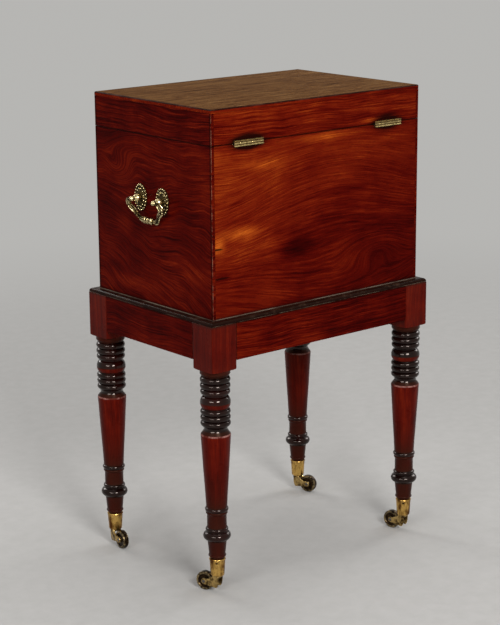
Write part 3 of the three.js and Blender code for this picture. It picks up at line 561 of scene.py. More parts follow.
lid_end_figure = mahogany(
    "mahogany_lid_end", 1, END, 0.35, shade_and_seams=[*LID_DIRT, (1, CORNER, 2.6 * MM, 0.7)], arris=True,
    seed=(5.3, 0.7, 0.4), depth=1.3,
)
rail_figure = mahogany(
    "mahogany_rail", 0, STAND_BACK, 0.345, (0.62, 0, 0),
    shade_and_seams=RAIL_SHADE, seed=(9.1, 0.2, 0.3), wander=0.016, ripple=0.0022, depth=1.25,
)
rail_end_figure = mahogany("mahogany_rail_end", 1, STAND_END, 0.33, shade_and_seams=RAIL_SHADE, seed=(8.4, 0.3, 1.3))
top_figure = faded_top("mahogany_faded_top")
leg_wood = turned_wood("mahogany_legs", (0.022, 0.0065, 0.0038), 0.22, 0.24, 1.28, (1, 0.7, 0.5))
ring_wood = turned_wood("mahogany_rings", (0.0045, 0.0011, 0.0008), 0.48, 0.1, 1.4, (1, 0.82, 0.74))
moulding_wood = dark_moulding("moulding_dark")
inside_wood = plain_wood("inside_mahogany", 0)
inside_cross_wood = plain_wood("inside_mahogany_cross", 1)
# The chest's edges: rubbed wear with a painted highlight on the upright corners, and dark along the seam
case_edge = pale_edge("case_edge_wear_and_highlight", (0.075, 0.007, 0.002), RUBBED_AND_HIGHLIGHT, corner=True, seam=SEAM)
# The moulding's arrises painted pale: rubbed wear, and a painted highlight along the inner arris
moulding_edge = pale_edge("moulding_edge_wear_and_highlight", (0.014, 0.007, 0.004), (0.14, 0.105, 0.072), patch=22)
top_arris = pale_edge("lid_worn_edge", (0.014, 0.003, 0.002), (0.05, 0.015, 0.009), patch=22)
stand_edge = pale_edge("stand_worn_edge", (0.008, 0.0012, 0.0008), (0.07, 0.012, 0.007))
# A painted highlight along the legs' turned shoulder
shoulder_highlight = pale_edge("leg_shoulder_highlight", (0.085, 0.017, 0.012), (0.28, 0.13, 0.11))
inside_edge = pale_edge("inside_worn_edge", (0.09, 0.035, 0.015), (0.26, 0.12, 0.055))
handle_brass = brass("brass_handles", (0.92, 0.76, 0.4), (0.075, 0.05, 0.018), 0.6, 260, 0.14)
handle_ground = brass("brass_handle_ground", (0.12, 0.08, 0.03), (0.008, 0.005, 0.002), 1, 320, 0.25)
hinge_brass = brass("brass_hinges", (0.92, 0.7, 0.3), (0.055, 0.025, 0.006), 0.7, 210, 0.18, barrel=SEAM)
castor_brass = brass("brass_castors", (0.78, 0.48, 0.13), (0.12, 0.04, 0.006), 1, 85, 0.2, runs=0.45)
horn_brass = brass("brass_horns", (0.56, 0.38, 0.14), (0.045, 0.022, 0.007), 1, 130, 0.24)
castor_bronze = wheel_bronze("bronze_wheels")
castor_screw = brass("brass_castor_screws", (0.1, 0.055, 0.02), (0.015, 0.008, 0.004), 1, 300)
dark_steel = steel("steel_dark")
baize_wool = wool("baize_green")


# Mesh code

def even_turns(count):
    return [WHOLE_TURN * step / count for step in range(count)]


def millimetres(*rows):
    return [tuple(number * MM for number in row) for row in rows]


def placed(place, points):
    return [place @ Vector(point) for point in points]


def rectangle(half_width, half_height):
    """Corners round a middle, anticlockwise."""
    return [(x * half_width, y * half_height) for x, y in ((-1, -1), (1, -1), (1, 1), (-1, 1))]


def arc(centre, radius, start, end, steps):
    turns = [start + (end - start) * step / steps for step in range(steps + 1)]
    return [(centre[0] + radius * cos(turn), centre[1] + radius * sin(turn)) for turn in turns]


def bend(start, pull, end, steps):
    """Points of a quadratic curve, without its start."""
    made = []
    for step in range(1, steps + 1):
        t = step / steps
        shares = ((1 - t) ** 2, 2 * t * (1 - t), t * t)
        made.append(tuple(sum(s * p for s, p in zip(shares, parts)) for parts in zip(start, pull, end)))
    return made


class Form:
    """Closed shells gathered into one mesh, each face with the number of its material."""

    def __init__(self):
        self.points = []
        self.faces = []
        self.kinds = []

    def face(self, corners, kind):
        self.faces.append(tuple(corners))
        self.kinds.append(kind)

    def rings(self, rings, kinds=None, closed_ends=True):
        """A skin over rings of equally many points. A ring of one point is a tip."""
        kinds = kinds or [0] * len(rings)
        start = []
        for ring in rings:
            start.append(len(self.points))
            self.points.extend(ring)
        for index in range(len(rings) - 1):
            low, high = start[index], start[index + 1]
            count = max(len(rings[index]), len(rings[index + 1]))
            for side in range(count):
                after = (side + 1) % count
                corners = (low + side, low + after, high + after, high + side)
                if len(rings[index]) == 1:
                    corners = (low, high + after, high + side)
                elif len(rings[index + 1]) == 1:
                    corners = (low + side, low + after, high)
                self.face(corners, kinds[index])
        if closed_ends and len(rings[0]) > 1:
            self.face(reversed(range(start[0], start[1])), kinds[0])
        if closed_ends and len(rings[-1]) > 1:
            self.face(range(start[-1], len(self.points)), kinds[-1])

    def lathe(self, profile, sides, place, kind=0):
        """A solid of revolution about Z from [radius, height] points: between two tips, or with a hole."""
        rings = []
        for radius, height in profile:
            turns = even_turns(sides) if radius > 0 else [0]
            rings.append(placed(place, [(radius * cos(turn), radius * sin(turn), height) for turn in turns]))
        self.rings(rings, [kind] * len(rings), closed_ends=False)

    def pearl(self, centre, radius):
        """A small bead."""
        between = arc((0, 0), radius, -pi / 2, pi / 2, 6)[1:-1]
        self.lathe([(0, -radius), *between, (0, radius)], 10, Matrix.Translation(centre))

    def cord(self, path, radius):
        """A thin round strand through points, tapering to its two ends."""
        last = len(path) - 1
        rings = [path[:1]]
        for index in range(1, last):
            ahead = (path[index + 1] - path[index - 1]).normalized()
            across = ahead.orthogonal().normalized()
            up = ahead.cross(across)
            thick = radius * min(1, 0.45 + 0.25 * min(index, last - index))
            circle = [across * cos(turn) + up * sin(turn) for turn in even_turns(8)]
            rings.append([path[index] + thick * way for way in circle])
        self.rings([*rings, path[-1:]])


def piece(name, form, materials, body, stands_for=(), crease=35):
    mesh = bpy.data.meshes.new(name)
    mesh.from_pydata([tuple(point) for point in form.points], [], form.faces)
    mesh.polygons.foreach_set("material_index", form.kinds)
    mesh.polygons.foreach_set("use_smooth", [True] * len(mesh.polygons))
    mesh.update()
    mesh.set_sharp_from_angle(angle=radians(crease))
    made = add_object(name, mesh)
    for material in materials:
        mesh.materials.append(material)
    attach(made, body)
    if stands_for:
        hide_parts(*stands_for)
    return made


def add_object(name, data):
    made = bpy.data.objects.new(name, data)
    bpy.context.scene.collection.objects.link(made)
    return made


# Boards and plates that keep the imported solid

def dress(names, material, edge=None, width=0.15 * MM):
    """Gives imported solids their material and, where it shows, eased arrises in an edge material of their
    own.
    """
    for name in names:
        board = nodes[name]
        board.data.materials.clear()
        board.data.materials.append(material)
        if edge:
            board.data.materials.append(edge)
            weld = board.modifiers.new("weld", "WELD")
            weld.merge_threshold = 1e-6
            ease = board.modifiers.new("ease", "BEVEL")
            ease.width = width
            ease.segments = 2
            ease.limit_method = "ANGLE"
            ease.angle_limit = radians(50)
            ease.material = 1


dress(["box_back"], back_figure, case_edge)
dress(["box_front"], front_figure, case_edge)
dress(["box_right_end"], end_figure, case_edge)
dress(["box_left_end"], left_figure, case_edge)
dress(["lid_back", "lid_front"], lid_back_figure, case_edge)
dress(["lid_right_end", "lid_left_end"], lid_end_figure, case_edge)
dress(["rail_back", "rail_front"], rail_figure, stand_edge, 0.3 * MM)
dress(["rail_right", "rail_left"], rail_end_figure, stand_edge, 0.3 * MM)
dress(["box_bottom"], inside_wood)
dress(["divider_long"], inside_wood, inside_edge, 0.4 * MM)
dress(["divider_cross_1", "divider_cross_2"], inside_cross_wood, inside_edge, 0.4 * MM)
for side in ("right", "left"):
    dress([f"hinge_{side}_lower_leaf", f"hinge_{side}_upper_leaf"], hinge_brass, hinge_brass, 0.25 * MM)
dress(["hinge_right_pin", "hinge_left_pin", "lock_bolt"], dark_steel)
dress(["lock_case", "lock_link_plate"], hinge_brass, hinge_brass, 0.2 * MM)


def lid_top():
    """The lid's top board: faded on top, red on its edges, with a rounded arris all round."""
    low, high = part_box("lid_top")
    arris = 2 * MM
    rows = [(0, low.z), *arc((arris, high.z - arris), arris, pi, pi / 2, 8)]
    rings = [[(x, y, height) for x, y in rectangle(END - inset, BACK - inset)] for inset, height in rows]
    form = Form()
    form.rings(rings, [1] + [2] * 6 + [0] * 2)
    underside = -2
    form.kinds[underside] = 3
    woods = [top_figure, lid_back_figure, top_arris, inside_wood]
    piece("lid_top_board", form, woods, "lid", ["lid_top"])


lid_top()


# Legs

# The turning from the castor's rim up to the block, as shares of the turned length and of half
# the block. A bead has [height of its middle, height, radius at its edges, radius at its middle,
# how black], a plain station [height, radius, how black].
TURNED = BLOCK_BOTTOM - CASTOR_HEIGHT - GAP
TORUS_PLACE = 0.831
TURNING = [
    (0.0158, 0.0113, 0.538, 0.59, 0.8),
    (0.0897, 0.628, 0.8),
    (0.123, 0.0457, 0.684, 0.919, 1),
    (0.1582, 0.0197, 0.667, 0.752, 1),
    (0.174, 0.645, 0.85), (0.2373, 0.645, 0.75),
    (0.2471, 0.0127, 0.671, 0.718, 0.85),
    (0.2654, 0.0211, 0.697, 0.774, 0.95),
    (0.2865, 0.697, 0.7), (0.3462, 0.739, 0.4), (0.4687, 0.842, 0.12), (0.65, 0.98, 0.05),
    (0.66, 0.987, 0), (0.663, 0.98, 0.1), (0.668, 0.955, 0.9),
    (0.6836, 0.795, 1), (0.6924, 0.765, 1), (0.703, 0.81, 1),
    (0.7225, 0.03, 0.855, 0.991, 1),
    (0.753, 0.03, 0.865, 0.99, 1),
    (0.7835, 0.03, 0.86, 0.994, 1),
    (TORUS_PLACE, 0.062, 0.825, 0.998, 1),
    (0.866, 0.765, 1), (0.8717, 0.775, 1),
    (0.887, 0.03, 0.85, 0.979, 1),
    (0.918, 0.031, 0.86, 0.994, 1),
    (0.9497, 0.032, 0.862, 0.994, 1),
    (0.969, 0.893, 1),
]
# Above this blackness wood has the rings' finish; the shoulder's painted highlight lies between two shares
# of the length
RING_BLACKNESS = 0.9
RING_SHARPNESS = 1.5
TALL_BEAD = 0.03
SHOULDER = (0.659, 0.6635)
NECK_SHARE = 0.991
TOP_SHRINK = 0.985
ARRIS_DEGREES = (-3.4, -2.2, -1.1, 0, 1.1, 2.2, 3.4)


def leg_profile():
    """[radius, height, how black] from the cup's rim up to the top of the block.

    The block's radii reach past its arrises, for its square outline limits them."""
    base = CASTOR_HEIGHT + GAP
    points = [(9.8 * MM, CASTOR_HEIGHT - 4 * MM, 0.9), (10.8 * MM, base, 0.9)]
    start = 0
    for at, *size, black in TURNING:
        plain = len(size) == 1
        tall, edge, crest = (0, *size, *size) if plain else size
        steps = 14 if tall > TALL_BEAD else 9
        angles = [pi / 2] if plain else [pi * step / steps for step in range(start, steps + 1)]
        for angle in angles:
            radius = HALF_BLOCK * (edge + (crest - edge) * sin(angle) ** RING_SHARPNESS)
            height = base + TURNED * (at - tall / 2 * cos(angle))
            lower_torus = at == TORUS_PLACE and 0.1 < cos(angle) < 0.82
            points.append((radius, height, 0.25 if lower_torus else black))
        start = 0 if plain else 1
    neck = HALF_BLOCK * NECK_SHARE
    neck_foot = BLOCK_BOTTOM - NECK_HEIGHT
    lip = 0.6 * MM
    arris = HALF_BLOCK * sqrt(2)
    stock = arris * 1.04
    shelf = BLOCK_BOTTOM + 0.4 * MM
    ease = 5 * MM
    points += [(neck - lip, neck_foot, 0.9), (neck, neck_foot + lip, 0.9), (neck, BLOCK_BOTTOM, 0.7)]
    points.append((arris * 0.84, shelf, 0.5))
    points += [(*point, 0.15) for point in arc((stock - ease, shelf + ease), ease, -pi / 2, 0, 8)]
    points.append((stock, BLOCK_BOTTOM + 30 * MM, 0))
    # The block darkens towards its top: painted shade under the moulding
    return points + [(stock, RAIL_TOP - 4 * MM, 0.1), (stock, RAIL_TOP - 0.4 * MM, 0.7)]


def block_reach(turn):
    """How far the block, square with rounded arrises, reaches from its middle in one direction."""
    round_off = 1.3 * MM
    inner = HALF_BLOCK - round_off
    turn = abs((turn + pi / 4) % (pi / 2) - pi / 4)
    straight = HALF_BLOCK / cos(turn)
    if straight * sin(turn) <= inner:
        return straight
    along = inner * (cos(turn) + sin(turn))
    return along + sqrt(max(along ** 2 - 2 * inner ** 2 + round_off ** 2, 0))


def leg_turns():
    """Directions round a leg, closer together at the block's arrises."""
    turns = {round(turn, 6) for turn in even_turns(64)}
    for quarter in even_turns(4):
        turns |= {round(quarter + radians(45 + offset), 6) for offset in ARRIS_DEGREES}
    return sorted(turns)


def leg(name, x, y):
    turns = leg_turns()
    rings, black = [], []
    for radius, height, blackness in leg_profile():
        reaches = [(min(radius, block_reach(turn)), turn) for turn in turns]
        rings.append([(x + reach * cos(turn), y + reach * sin(turn), height) for reach, turn in reaches])
        black.append(blackness)
    eased = [(reach * TOP_SHRINK, turn) for reach, turn in reaches]
    rings.append([(x + reach * cos(turn), y + reach * sin(turn), RAIL_TOP) for reach, turn in eased])
    # Painted shade under the moulding at the block's top
    black.append(0.7)
    kinds = []
    for low, high, ring in zip(black, black[1:], rings):
        share = (ring[0][2] - CASTOR_HEIGHT - GAP) / TURNED
        ringed = min(low, high) > RING_BLACKNESS and share < 1
        # The shoulder's strip takes the painted highlight
        kinds.append(2 if SHOULDER[0] < share < SHOULDER[1] else 1 if ringed else 0)
    form = Form()
    form.rings(rings, kinds)
    woods = [leg_wood, ring_wood, shoulder_highlight]
    made = piece(f"{name}_turned", form, woods, BASE, [name], 32)
    stain = made.data.attributes.new("stain", "FLOAT", "POINT")
    stain.data.foreach_set("value", [blackness for blackness in black for _ in turns])


# Where each leg stands, and the direction in degrees that its castor trails in
CORNERS = {
    "front_left": (-LEG_X, -LEG_Y, 110),
    "front_right": (LEG_X, -LEG_Y, 83),
    "back_left": (-LEG_X, LEG_Y, -78),
    "back_right": (LEG_X, LEG_Y, -70),
}
for corner, (x, y, _) in CORNERS.items():
    leg(f"leg_{corner}", x, y)


# Moulding

def moulding():
    """Four strips mitred at the corners: flat on top, rounded outside, with a small quirk below."""
    round_off, inset, mitre, arris = 4.6 * MM, 0.6 * MM, 0.06 * MM, 0.4 * MM
    low = RAIL_TOP + GAP
    outline = [(inset + 0.8 * MM, low), (inset + 0.15 * MM, low + 0.25 * MM), (inset, low + 0.8 * MM)]
    outline += arc((inset + round_off, MOULDING_TOP - round_off), round_off, pi * 0.9, pi / 2, 9)
    inner = STAND_END - END - GAP
    foot_side, inner_arris = 1, len(outline)
    outline += [(inner - arris, MOULDING_TOP), (inner, MOULDING_TOP - arris), (inner, low)]
    form = Form()
    for quarter in range(4):
        turn = Matrix.Rotation(quarter * pi / 2, 4, "Z")
        long, short = (STAND_BACK, STAND_END) if quarter % 2 else (STAND_END, STAND_BACK)
        ends = []
        for way in (-1, 1):
            ends.append(placed(turn, [(way * (long - out - mitre), out - short, up) for out, up in outline]))
        first = len(form.kinds)
        form.rings(ends)
        # The foot and the inner arris take the pale edge: rubbed wear with a painted highlight
        for side in (foot_side, inner_arris):
            form.kinds[first + side] = 1
    woods = [moulding_wood, moulding_edge]
    piece("moulding_strips", form, woods, BASE, ["moulding_frame"], 40)


moulding()


# Castors

CUP_LENGTH = 0.0285
CUP_RIM = 0.0123
CUP_FOOT = 0.0108
CUP_TAPER = (CUP_RIM - CUP_FOOT) / CUP_LENGTH
CUP_BASE = CASTOR_HEIGHT - CUP_LENGTH
CUP_BORE = 0.003
CUP_FLOOR = 0.004
SCREW_DROP = 0.0055
TRAIL = 0.0215
WHEEL_RADIUS = 0.015
WHEEL_HALF = 0.00475
HORN_HALF = 0.0072
HORN_TOP = CUP_BASE - GAP
HORN_FRONT = 0.0054
SLOT_HALF = 0.0053


def castor_cup(name, x, y):
    """A tapering cup with a rolled rim, held by a screw on each of two opposite sides."""
    profile = [(CUP_BORE, CUP_BASE)]
    for out, up in millimetres((-2.2, 0), (-1.2, 0.3), (-0.3, 1), (0, 2.1)):
        profile.append((CUP_FOOT + out, CUP_BASE + up))
    for down in (9 * MM, 3 * MM):
        profile.append((CUP_RIM - CUP_TAPER * down, CASTOR_HEIGHT - down))
    rim = millimetres((-0.1, 2.6), (0.5, 2), (0.6, 1.4), (0.5, 0.7), (0, 0.1), (-0.6, 0), (-1.5, 0))
    profile += [(CUP_RIM + out, CASTOR_HEIGHT - down) for out, down in rim]
    profile += [(CUP_FOOT - 1.2 * MM, CUP_BASE + CUP_FLOOR), (CUP_BORE, CUP_BASE + CUP_FLOOR)]
    form = Form()
    place = Matrix.Translation((x, y, 0))
    form.lathe([*profile, profile[0]], 64, place)
    screw = millimetres((0, -1.7), (1, -1.7), (1.9, -0.45), (1.8, -0.1), (1.2, 0.12), (0, 0.2))
    out = Matrix.Translation((CUP_RIM - CUP_TAPER * SCREW_DROP, 0, CASTOR_HEIGHT - SCREW_DROP))
    sideways = Matrix.Rotation(pi / 2, 4, "Y")
    for turn in (0, pi):
        turn += pi / 4 if y > 0 else 3 * pi / 4
        form.lathe(screw, 20, place @ Matrix.Rotation(turn, 4, "Z") @ out @ sideways, 1)
    piece(f"{name}_cast", form, [castor_brass, castor_screw], BASE, [name], 40)


def horn_outline():
    """The side of a castor's horn, as [back from its stem, height], round from its toe."""
    toe, boss = 0.0078, 0.0045
    low, high = WHEEL_RADIUS - boss, WHEEL_RADIUS + boss
    outline = [(-HORN_FRONT, HORN_TOP)]
    outline += bend((-HORN_FRONT, HORN_TOP), (-HORN_FRONT, toe), (0, toe), 10)
    outline += bend((0, toe), (TRAIL * 0.5, (toe + low) / 2), (TRAIL, low), 4)
    outline += arc((TRAIL, WHEEL_RADIUS), boss, -pi / 2, pi / 2, 14)[1:]
    return outline + bend((TRAIL, high), (TRAIL * 0.42, high), (HORN_FRONT, HORN_TOP), 14)


def inward(outline, reach):
    """An outline drawn in by a small reach along its own sides."""
    made = []
    for before, here, after in zip([outline[-1], *outline], outline, [*outline[1:], outline[0]]):
        ways = []
        for start, end in ((before, here), (here, after)):
            step = Vector(end) - Vector(start)
            ways.append(Vector((-step.y, step.x)).normalized())
        made.append(Vector(here) + (ways[0] + ways[1]).normalized() * reach)
    return made


def castor_horn(name, body, place):
    """A plate under the cup with two cheeks that sweep back to hold the axle."""
    form = Form()
    inner, outer = SLOT_HALF / MM, HORN_HALF / MM
    layers = millimetres((inner, 0.4), (inner + 0.4, 0), (outer - 0.6, 0), (outer - 0.2, 0.3), (outer, 0.8))
    for way in (-1, 1):
        cheek = []
        for across, reach in layers:
            ring = placed(place, [(out, way * across, up) for out, up in inward(horn_outline(), reach)])
            cheek.append(ring[::way])
        form.rings(cheek)
    plate = []
    for down, shrink in ((3.4, 0.94), (3.2, 0.98), (0.4, 0.98), (0, 0.94)):
        corners = rectangle(HORN_FRONT * shrink, (HORN_HALF - 0.2 * MM) * shrink)
        plate.append(placed(place, [(x, y, HORN_TOP - down * MM) for x, y in corners]))
    form.rings(plate)
    stem = millimetres((0, -2), (2.4, -2), (2.4, 4.6), (4.8, 4.6), (4.1, 6.6), (0, 6.8))
    form.lathe([(radius, HORN_TOP + up) for radius, up in stem], 32, place)
    piece(f"{name}_cast", form, [horn_brass], body, [name], 40)


def castor_wheel(name, body, place):
    """A turned brass wheel with dished faces round its hub."""
    rows = millimetres(
        (2.2, 0), (4.3, 0), (5, 0.4), (5.4, 1.4), (10.2, 1.4), (10.8, 0.8), (11.3, 0.1),
        (13.6, 0), (14.3, 0.3), (14.8, 1), (15, 2.2),
    )
    profile = [(radius, deep - WHEEL_HALF) for radius, deep in rows]
    form = Form()
    form.lathe([*profile, *mirrored(profile), profile[0]], 72, place)
    piece(f"{name}_turned", form, [castor_bronze], body, [name], 30)


def mirrored(profile):
    return [(radius, -height) for radius, height in reversed(profile)]


def castor_axle(name, body, place):
    head = millimetres((1.8, -0.9), (2.7, -0.2), (2.4, 0.3), (1.4, 0.6), (0, 0.7))
    profile = [(radius, HORN_HALF + GAP + up) for radius, up in head]
    form = Form()
    form.lathe(mirrored(profile) + profile, 24, place)
    piece(f"{name}_riveted", form, [dark_steel], body, [name], 40)


for corner, (x, y, trails) in CORNERS.items():
    swivel = Matrix.Translation((x, y, 0)) @ Matrix.Rotation(radians(trails), 4, "Z")
    axle = swivel @ Matrix.Translation((TRAIL, 0, WHEEL_RADIUS)) @ Matrix.Rotation(pi / 2, 4, "X")
    castor = f"castor_{corner}"
    castor_cup(f"{castor}_cup", x, y)
    castor_horn(f"{castor}_horn", f"{corner}_horn", swivel)
    castor_wheel(f"{castor}_wheel", f"{corner}_wheel", axle)
    castor_axle(f"{castor}_axle", f"{corner}_horn", axle)


# Handles

PIVOT_OUT = 0.018
RING = 0.0054
BAIL_HALF = 0.041
BAIL_DROP = 0.0345
BAIL_REACH = 0.036
BAIL_LEAN = asin((PIVOT_OUT - RING - GAP) / BAIL_REACH)
# How far out and down along the bail, and its half thickness as a share of the ring radius
BAIL = [
    (0.61, 0, 0.35), (0.785, 0, 0.35), (0.834, 0.017, 0.56), (0.917, 0.1, 0.72), (0.98, 0.24, 0.8),
    (0.976, 0.367, 0.63), (0.902, 0.472, 0.78), (0.795, 0.572, 0.74), (0.698, 0.683, 0.6),
    (0.624, 0.811, 0.56), (0.527, 0.933, 0.63), (0.424, 0.989, 0.72), (0.346, 1, 0.7),
    (0.278, 1, 0.56), (0.262, 1, 0.6), (0.252, 1, 0.96), (0.23, 1, 1), (0.21, 1, 0.96),
    (0.199, 1, 0.64), (0.188, 1, 0.94), (0.165, 1, 0.98), (0.142, 1, 0.92),
    (0.13, 1, 0.56), (0.1, 1, 0.6), (0.07, 1, 0.8), (0, 1, 0.86),
]
# The stations between which each arm is roped, and the path's points to a station
ROPED = (4, 12)
STRETCH_POINTS = 4
# Flutes run along the arms: how many, how deep, and how far out they start
FLUTES = 6
FLUTE_DEPTH = 0.16
FLUTED_FROM = 0.36
ROPE_SPACING = 1.75 * MM


def smooth_path(stations):
    """Catmull-Rom points through the stations."""
    padded = [stations[0], *stations, stations[-1]]
    made = []
    for stretch in zip(padded, padded[1:], padded[2:], padded[3:]):
        for step in range(STRETCH_POINTS):
            t = step / STRETCH_POINTS
            made.append([
                0.5 * (2 * p1 + (p2 - p0) * t + (2 * p0 - 5 * p1 + 4 * p2 - p3) * t * t
                       + (3 * p1 - p0 - 3 * p2 + p3) * t ** 3)
                for p0, p1, p2, p3 in zip(*stretch)
            ])
    return [*made, stations[-1]]


def bail(name, body, place):
    """The swan-neck bail: leafy arms with a roped outer edge, two pairs of rings and a scroll."""
    half = [(out * BAIL_HALF, -down * BAIL_DROP, thick * RING) for out, down, thick in BAIL]
    path = smooth_path(half + [(-y, z, thick) for y, z, thick in reversed(half[:-1])])
    rings, outward = [], []
    sides = 24
    across = Vector((1, 0, 0))
    for before, (y, z, thick), after in zip([path[0], *path], path, [*path[1:], path[-1]]):
        ahead = Vector((0, after[0] - before[0], after[1] - before[1])).normalized()
        up = ahead.cross(across).normalized()
        outward.append(up)
        fluted = FLUTE_DEPTH if abs(y) / BAIL_HALF > FLUTED_FROM else 0
        ring = []
        for turn in even_turns(sides):
            reach = thick * (1 - fluted + fluted * cos(FLUTES * turn))
            ring.append(Vector((0, y, z)) + reach * (across * cos(turn) + up * sin(turn)))
        rings.append(placed(place, ring))
    form = Form()
    form.rings(rings)
    for index in range((len(path) - 1) * sides):
        thick = path[index // sides][2] / RING
        turn = WHOLE_TURN * (index % sides + 0.5) / sides
        form.kinds[index] = 1 if thick < 0.9 and cos(FLUTES * turn) < 0.1 or thick < 0.66 else 0
    rope(form, place, path, outward)
    rope(form, place, path[::-1], outward[::-1])
    scroll(form, place)
    piece(f"{name}_cast", form, [handle_brass, handle_ground], body, [name], 50)


def rope(form, place, path, outward):
    """Beads along the outer edge of the arm that a path starts with."""
    travelled = spaced = 0
    for index in range(ROPED[0] * STRETCH_POINTS, ROPED[1] * STRETCH_POINTS):
        y, z, thick = path[index]
        travelled += hypot(y - path[index - 1][0], z - path[index - 1][1])
        if travelled < spaced:
            continue
        spaced += ROPE_SPACING
        side = outward[index]
        if side.dot(Vector((0, y, z + BAIL_DROP / 2))) <= 0:
            side = -side
        form.pearl(place @ (Vector((0.25 * thick, y, z)) + side * (thick * 0.86)), 1.1 * MM)


def scroll(form, place):
    """A volute on the front of the grip's middle."""
    points = []
    for step in range(34):
        share = step / 33
        turn = share * 2.1 * WHOLE_TURN
        reach = (3.9 - 3.3 * share) * MM
        front = (4.1 + 0.7 * share) * MM
        points.append((front, reach * cos(turn), reach * sin(turn) - BAIL_DROP))
    form.cord(placed(place, points), 0.72 * MM)


def rosette(name, place):
    """An oval cast plate: a rim of pearls, a hollow, and a leaf-cut dome round the post."""
    form = Form()
    wide, tall, lobes, scallop, cut = 0.015, 0.0215, 22, 0.035, 0.6 * MM
    rows = [
        (1, 0.3), (1, 1.2), (0.985, 1.8), (0.95, 2.1), (0.9, 2), (0.84, 1.4), (0.78, 1.1),
        (0.72, 1.3), (0.66, 2.1), (0.58, 3.1), (0.48, 3.9), (0.36, 4.4), (0.18, 4.6),
    ]
    rings = []
    for share, out in rows:
        ring = []
        rim = scallop * max(0, (share - 0.8) / 0.2)
        leaf = cut * max(0, 1 - abs(share - 0.55) / 0.3)
        for turn in even_turns(lobes * 6):
            reach = share * (1 - rim + rim * cos(lobes * turn))
            height = out * MM + leaf * cos(lobes / 2 * turn)
            ring.append((height, wide * reach * cos(turn), tall * reach * sin(turn)))
        rings.append(placed(place, ring))
    form.rings(rings, [1] * len(rings))
    inner_pearls = [turn + pi / 12 for turn in even_turns(12)]
    for turns, out, width, height, radius in (
        (even_turns(lobes), 2.2, 0.9, 0.92, 1.35), (inner_pearls, 3, 0.62, 0.66, 1.3),
    ):
        for turn in turns:
            at = Vector((out * MM, wide * width * cos(turn), tall * height * sin(turn)))
            form.pearl(place @ at, radius * MM)
    metals = [handle_brass, handle_ground]
    piece(f"{name}_cast", form, metals, BASE, [name], 50)


def post(name, place):
    """A turned post with a round boss, a waist and a ball, and its square nut inside the chest."""
    ball, boss, boss_out, stem, collar = 0.0041, 0.0066, 0.0086, 0.003, 0.0052
    lean = asin((boss_out - collar) / boss)
    profile = [*millimetres((0, -10.6), (2.6, -10.6)), (2.6 * MM, collar)]
    profile += arc((0, boss_out), boss, -lean, lean, 12)
    profile += arc((0, PIVOT_OUT), ball, -acos(stem / ball), pi * 0.39, 12)
    profile += [(radius, PIVOT_OUT + up) for radius, up in millimetres((1.3, 4.2), (0.9, 4.7), (0, 4.8))]
    form = Form()
    form.lathe(profile, 32, place @ Matrix.Rotation(pi / 2, 4, "Y"))
    nut = 4.5 * MM
    form.rings([
        placed(place, [(out * MM, y, z) for y, z in rectangle(nut * shrink, nut * shrink)])
        for out, shrink in ((-10.6, 0.86), (-10.1, 1), (-7, 1))
    ])
    piece(f"{name}_turned", form, [handle_brass], BASE, [name], 40)


for side, turn, way in (("right", 0, 1), ("left", pi, -1)):
    at_end = Matrix.Translation((way * END, 0, HANDLE_HEIGHT)) @ Matrix.Rotation(turn, 4, "Z")
    for where, y in (("front", -POST_SPACING / 2), ("back", POST_SPACING / 2)):
        at_post = at_end @ Matrix.Translation((0, way * y, 0))
        rosette(f"handle_{side}_{where}_rosette", at_post)
        post(f"handle_{side}_{where}_post", at_post)
    hang = at_end @ Matrix.Translation((PIVOT_OUT, 0, 0)) @ Matrix.Rotation(BAIL_LEAN, 4, "Y")
    bail(f"handle_{side}_bail", f"{side}_bail", hang)


# Screws

HINGE_Y = 0.13695
LOCK_Y = -0.1361


def countersunk(form, place):
    """A slotted screw head flush with its plate, along Z."""
    form.lathe(millimetres(
        (0, -1.9), (0.95, -1.9), (0.95, -1.4), (2, -0.12), (1.9, 0), (0, 0),
    ), 24, place)
    slot = rectangle(1.7 * MM, 0.25 * MM)
    form.rings([placed(place, [(x, y, z * MM) for x, y in slot]) for z in (-0.5, 0.02)])


def screws():
    down, up = (Matrix.Rotation(turn, 4, "X") for turn in (0, pi))
    lower, upper, lock, link = Form(), Form(), Form(), Form()
    for side in (-1, 1):
        for offset in (-0.02, 0, 0.02):
            x = side * HINGE_X + offset
            countersunk(lower, Matrix.Translation((x, HINGE_Y, CHEST_TOP - 0.1 * MM)) @ down)
            countersunk(upper, Matrix.Translation((x, HINGE_Y, LID_BASE + 0.1 * MM)) @ up)
        countersunk(lock, Matrix.Translation((side * 0.0354, LOCK_Y, CHEST_TOP - 0.05 * MM)) @ down)
        countersunk(link, Matrix.Translation((side * 0.0204, LOCK_Y, LID_BASE + 0.05 * MM)) @ up)
    for name, form, body in (
        ("hinge_screws_lower", lower, BASE), ("hinge_screws_upper", upper, "lid"),
        ("lock_screws", lock, BASE), ("link_plate_screws", link, "lid"),
    ):
        piece(name, form, [hinge_brass], body)


screws()


# Baize

def baize():
    """Baize laid on the floor of the chest: slightly uneven, with soft cut edges."""
    low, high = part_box("baize_lining")
    across, along = 60, 40
    rings = []
    for j in range(along + 1):
        y = low.y + (high.y - low.y) * j / along
        top, bottom = [], []
        for i in range(across + 1):
            x = low.x + (high.x - low.x) * i / across
            ripple = 0.25 * MM * noise.noise(Vector((x * 40, y * 40, 0.3)))
            sag = 0.35 * MM if i in (0, across) or j in (0, along) else 0
            top.append((x, y, high.z - 0.3 * MM + ripple - sag))
            bottom.append((x, y, low.z))
        rings.append(top + bottom[::-1])
    form = Form()
    form.rings(rings)
    made = piece("baize_cloth", form, [baize_wool], BASE, ["baize_lining"], 60)


baize()


# Stage, light and camera

PALE = (0.47, 0.465, 0.45)
FLOOR_REACH = 9


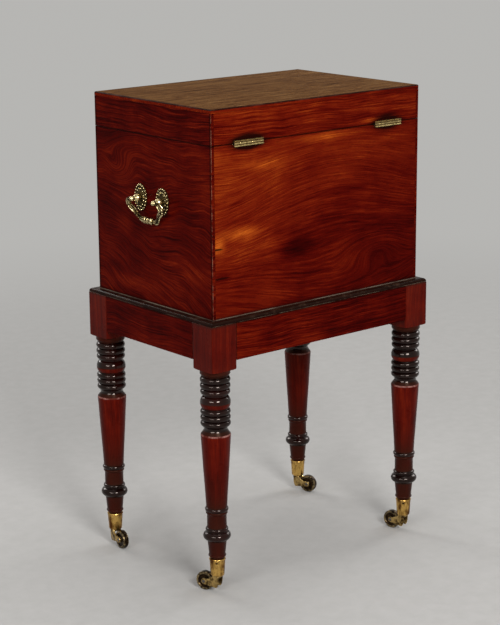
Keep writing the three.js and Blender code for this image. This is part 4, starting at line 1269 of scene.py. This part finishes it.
def floor():
    """A pale floor that keeps the object's shadow and fades into the backdrop far from it."""
    mesh = bpy.data.meshes.new("floor")
    mesh.from_pydata([(x, y, 0) for x, y in rectangle(FLOOR_REACH, FLOOR_REACH)], [], [(0, 1, 2, 3)])
    shader = Shader("floor_pale")
    mottle = shader.place.noise(40, 4, 0.6)
    colour = mottle.ramp([(0.3, (0.45, 0.44, 0.425)), (0.7, (0.48, 0.47, 0.455))])
    mesh.materials.append(shader.finish(colour, 0.9, specular=0))
    glow = shader.node("Emission", {"Color": PALE})
    far = shader.place.work("LENGTH", to_number=True).spread(1, 2.6, smooth=True)
    shader.end("Material Output", far * shader.seen_directly(), shader.surface.outputs[0], glow.outputs[0])
    add_object("floor", mesh)


def world():
    made = bpy.data.worlds.new("studio")
    tree = Tree(made)
    ambient = tree.nodes["Background"]
    tree.put(ambient.inputs["Color"], (0.8, 0.8, 0.79))
    tree.put(ambient.inputs["Strength"], 0.24)
    backdrop = tree.node("Background", {"Color": PALE})
    tree.end("World Output", tree.seen_directly(), ambient.outputs[0], backdrop.outputs[0])
    bpy.context.scene.world = made


def softbox(name, place, aim, size, power):
    lamp = bpy.data.lights.new(name, "AREA")
    lamp.shape = "RECTANGLE"
    lamp.size, lamp.size_y = size
    lamp.energy = power
    made = add_object(name, lamp)
    made.location = place
    made.rotation_euler = (Vector((0, 0, aim)) - Vector(place)).to_track_quat("-Z", "Y").to_euler()


def camera():
    """The photograph's angle: yaw, pitch and roll in degrees, found from the object's corners."""
    yaw, pitch, roll = 139.938, 14.268, -0.447
    turn = Matrix.Identity(4)
    for degrees, axis in ((yaw, "Z"), (90 - pitch, "X"), (roll, "Z")):
        turn = turn @ Matrix.Rotation(radians(degrees), 4, axis)
    data = bpy.data.cameras.new("camera")
    data.sensor_fit = "AUTO"
    data.sensor_width = 36
    data.lens = 105.6
    data.clip_start, data.clip_end = 0.05, 60
    made = add_object("camera", data)
    made.matrix_world = Matrix.Translation((1.8654, 2.1949, 1.1192)) @ turn
    bpy.context.scene.camera = made


camera()
floor()
world()
# Each light's place, the height on the object's axis that it faces, its size and its power in watts
softbox("key", (1.03, 2.82, 1.9), 0.45, (0.95, 0.7), 78)
softbox("fill", (2.8, 1.1, 1.6), 0.45, (1.6, 0.3), 34)
softbox("top", (-0.3, -0.2, 2.9), 0.5, (1.6, 1.6), 27)
softbox("front", (0.25, -2.9, 1.9), 0.4, (1.2, 1.2), 30)
softbox("left", (-2.9, 0, 1.7), 0.4, (1.2, 1.2), 26)

bpy.context.scene.view_settings.view_transform = "Standard"
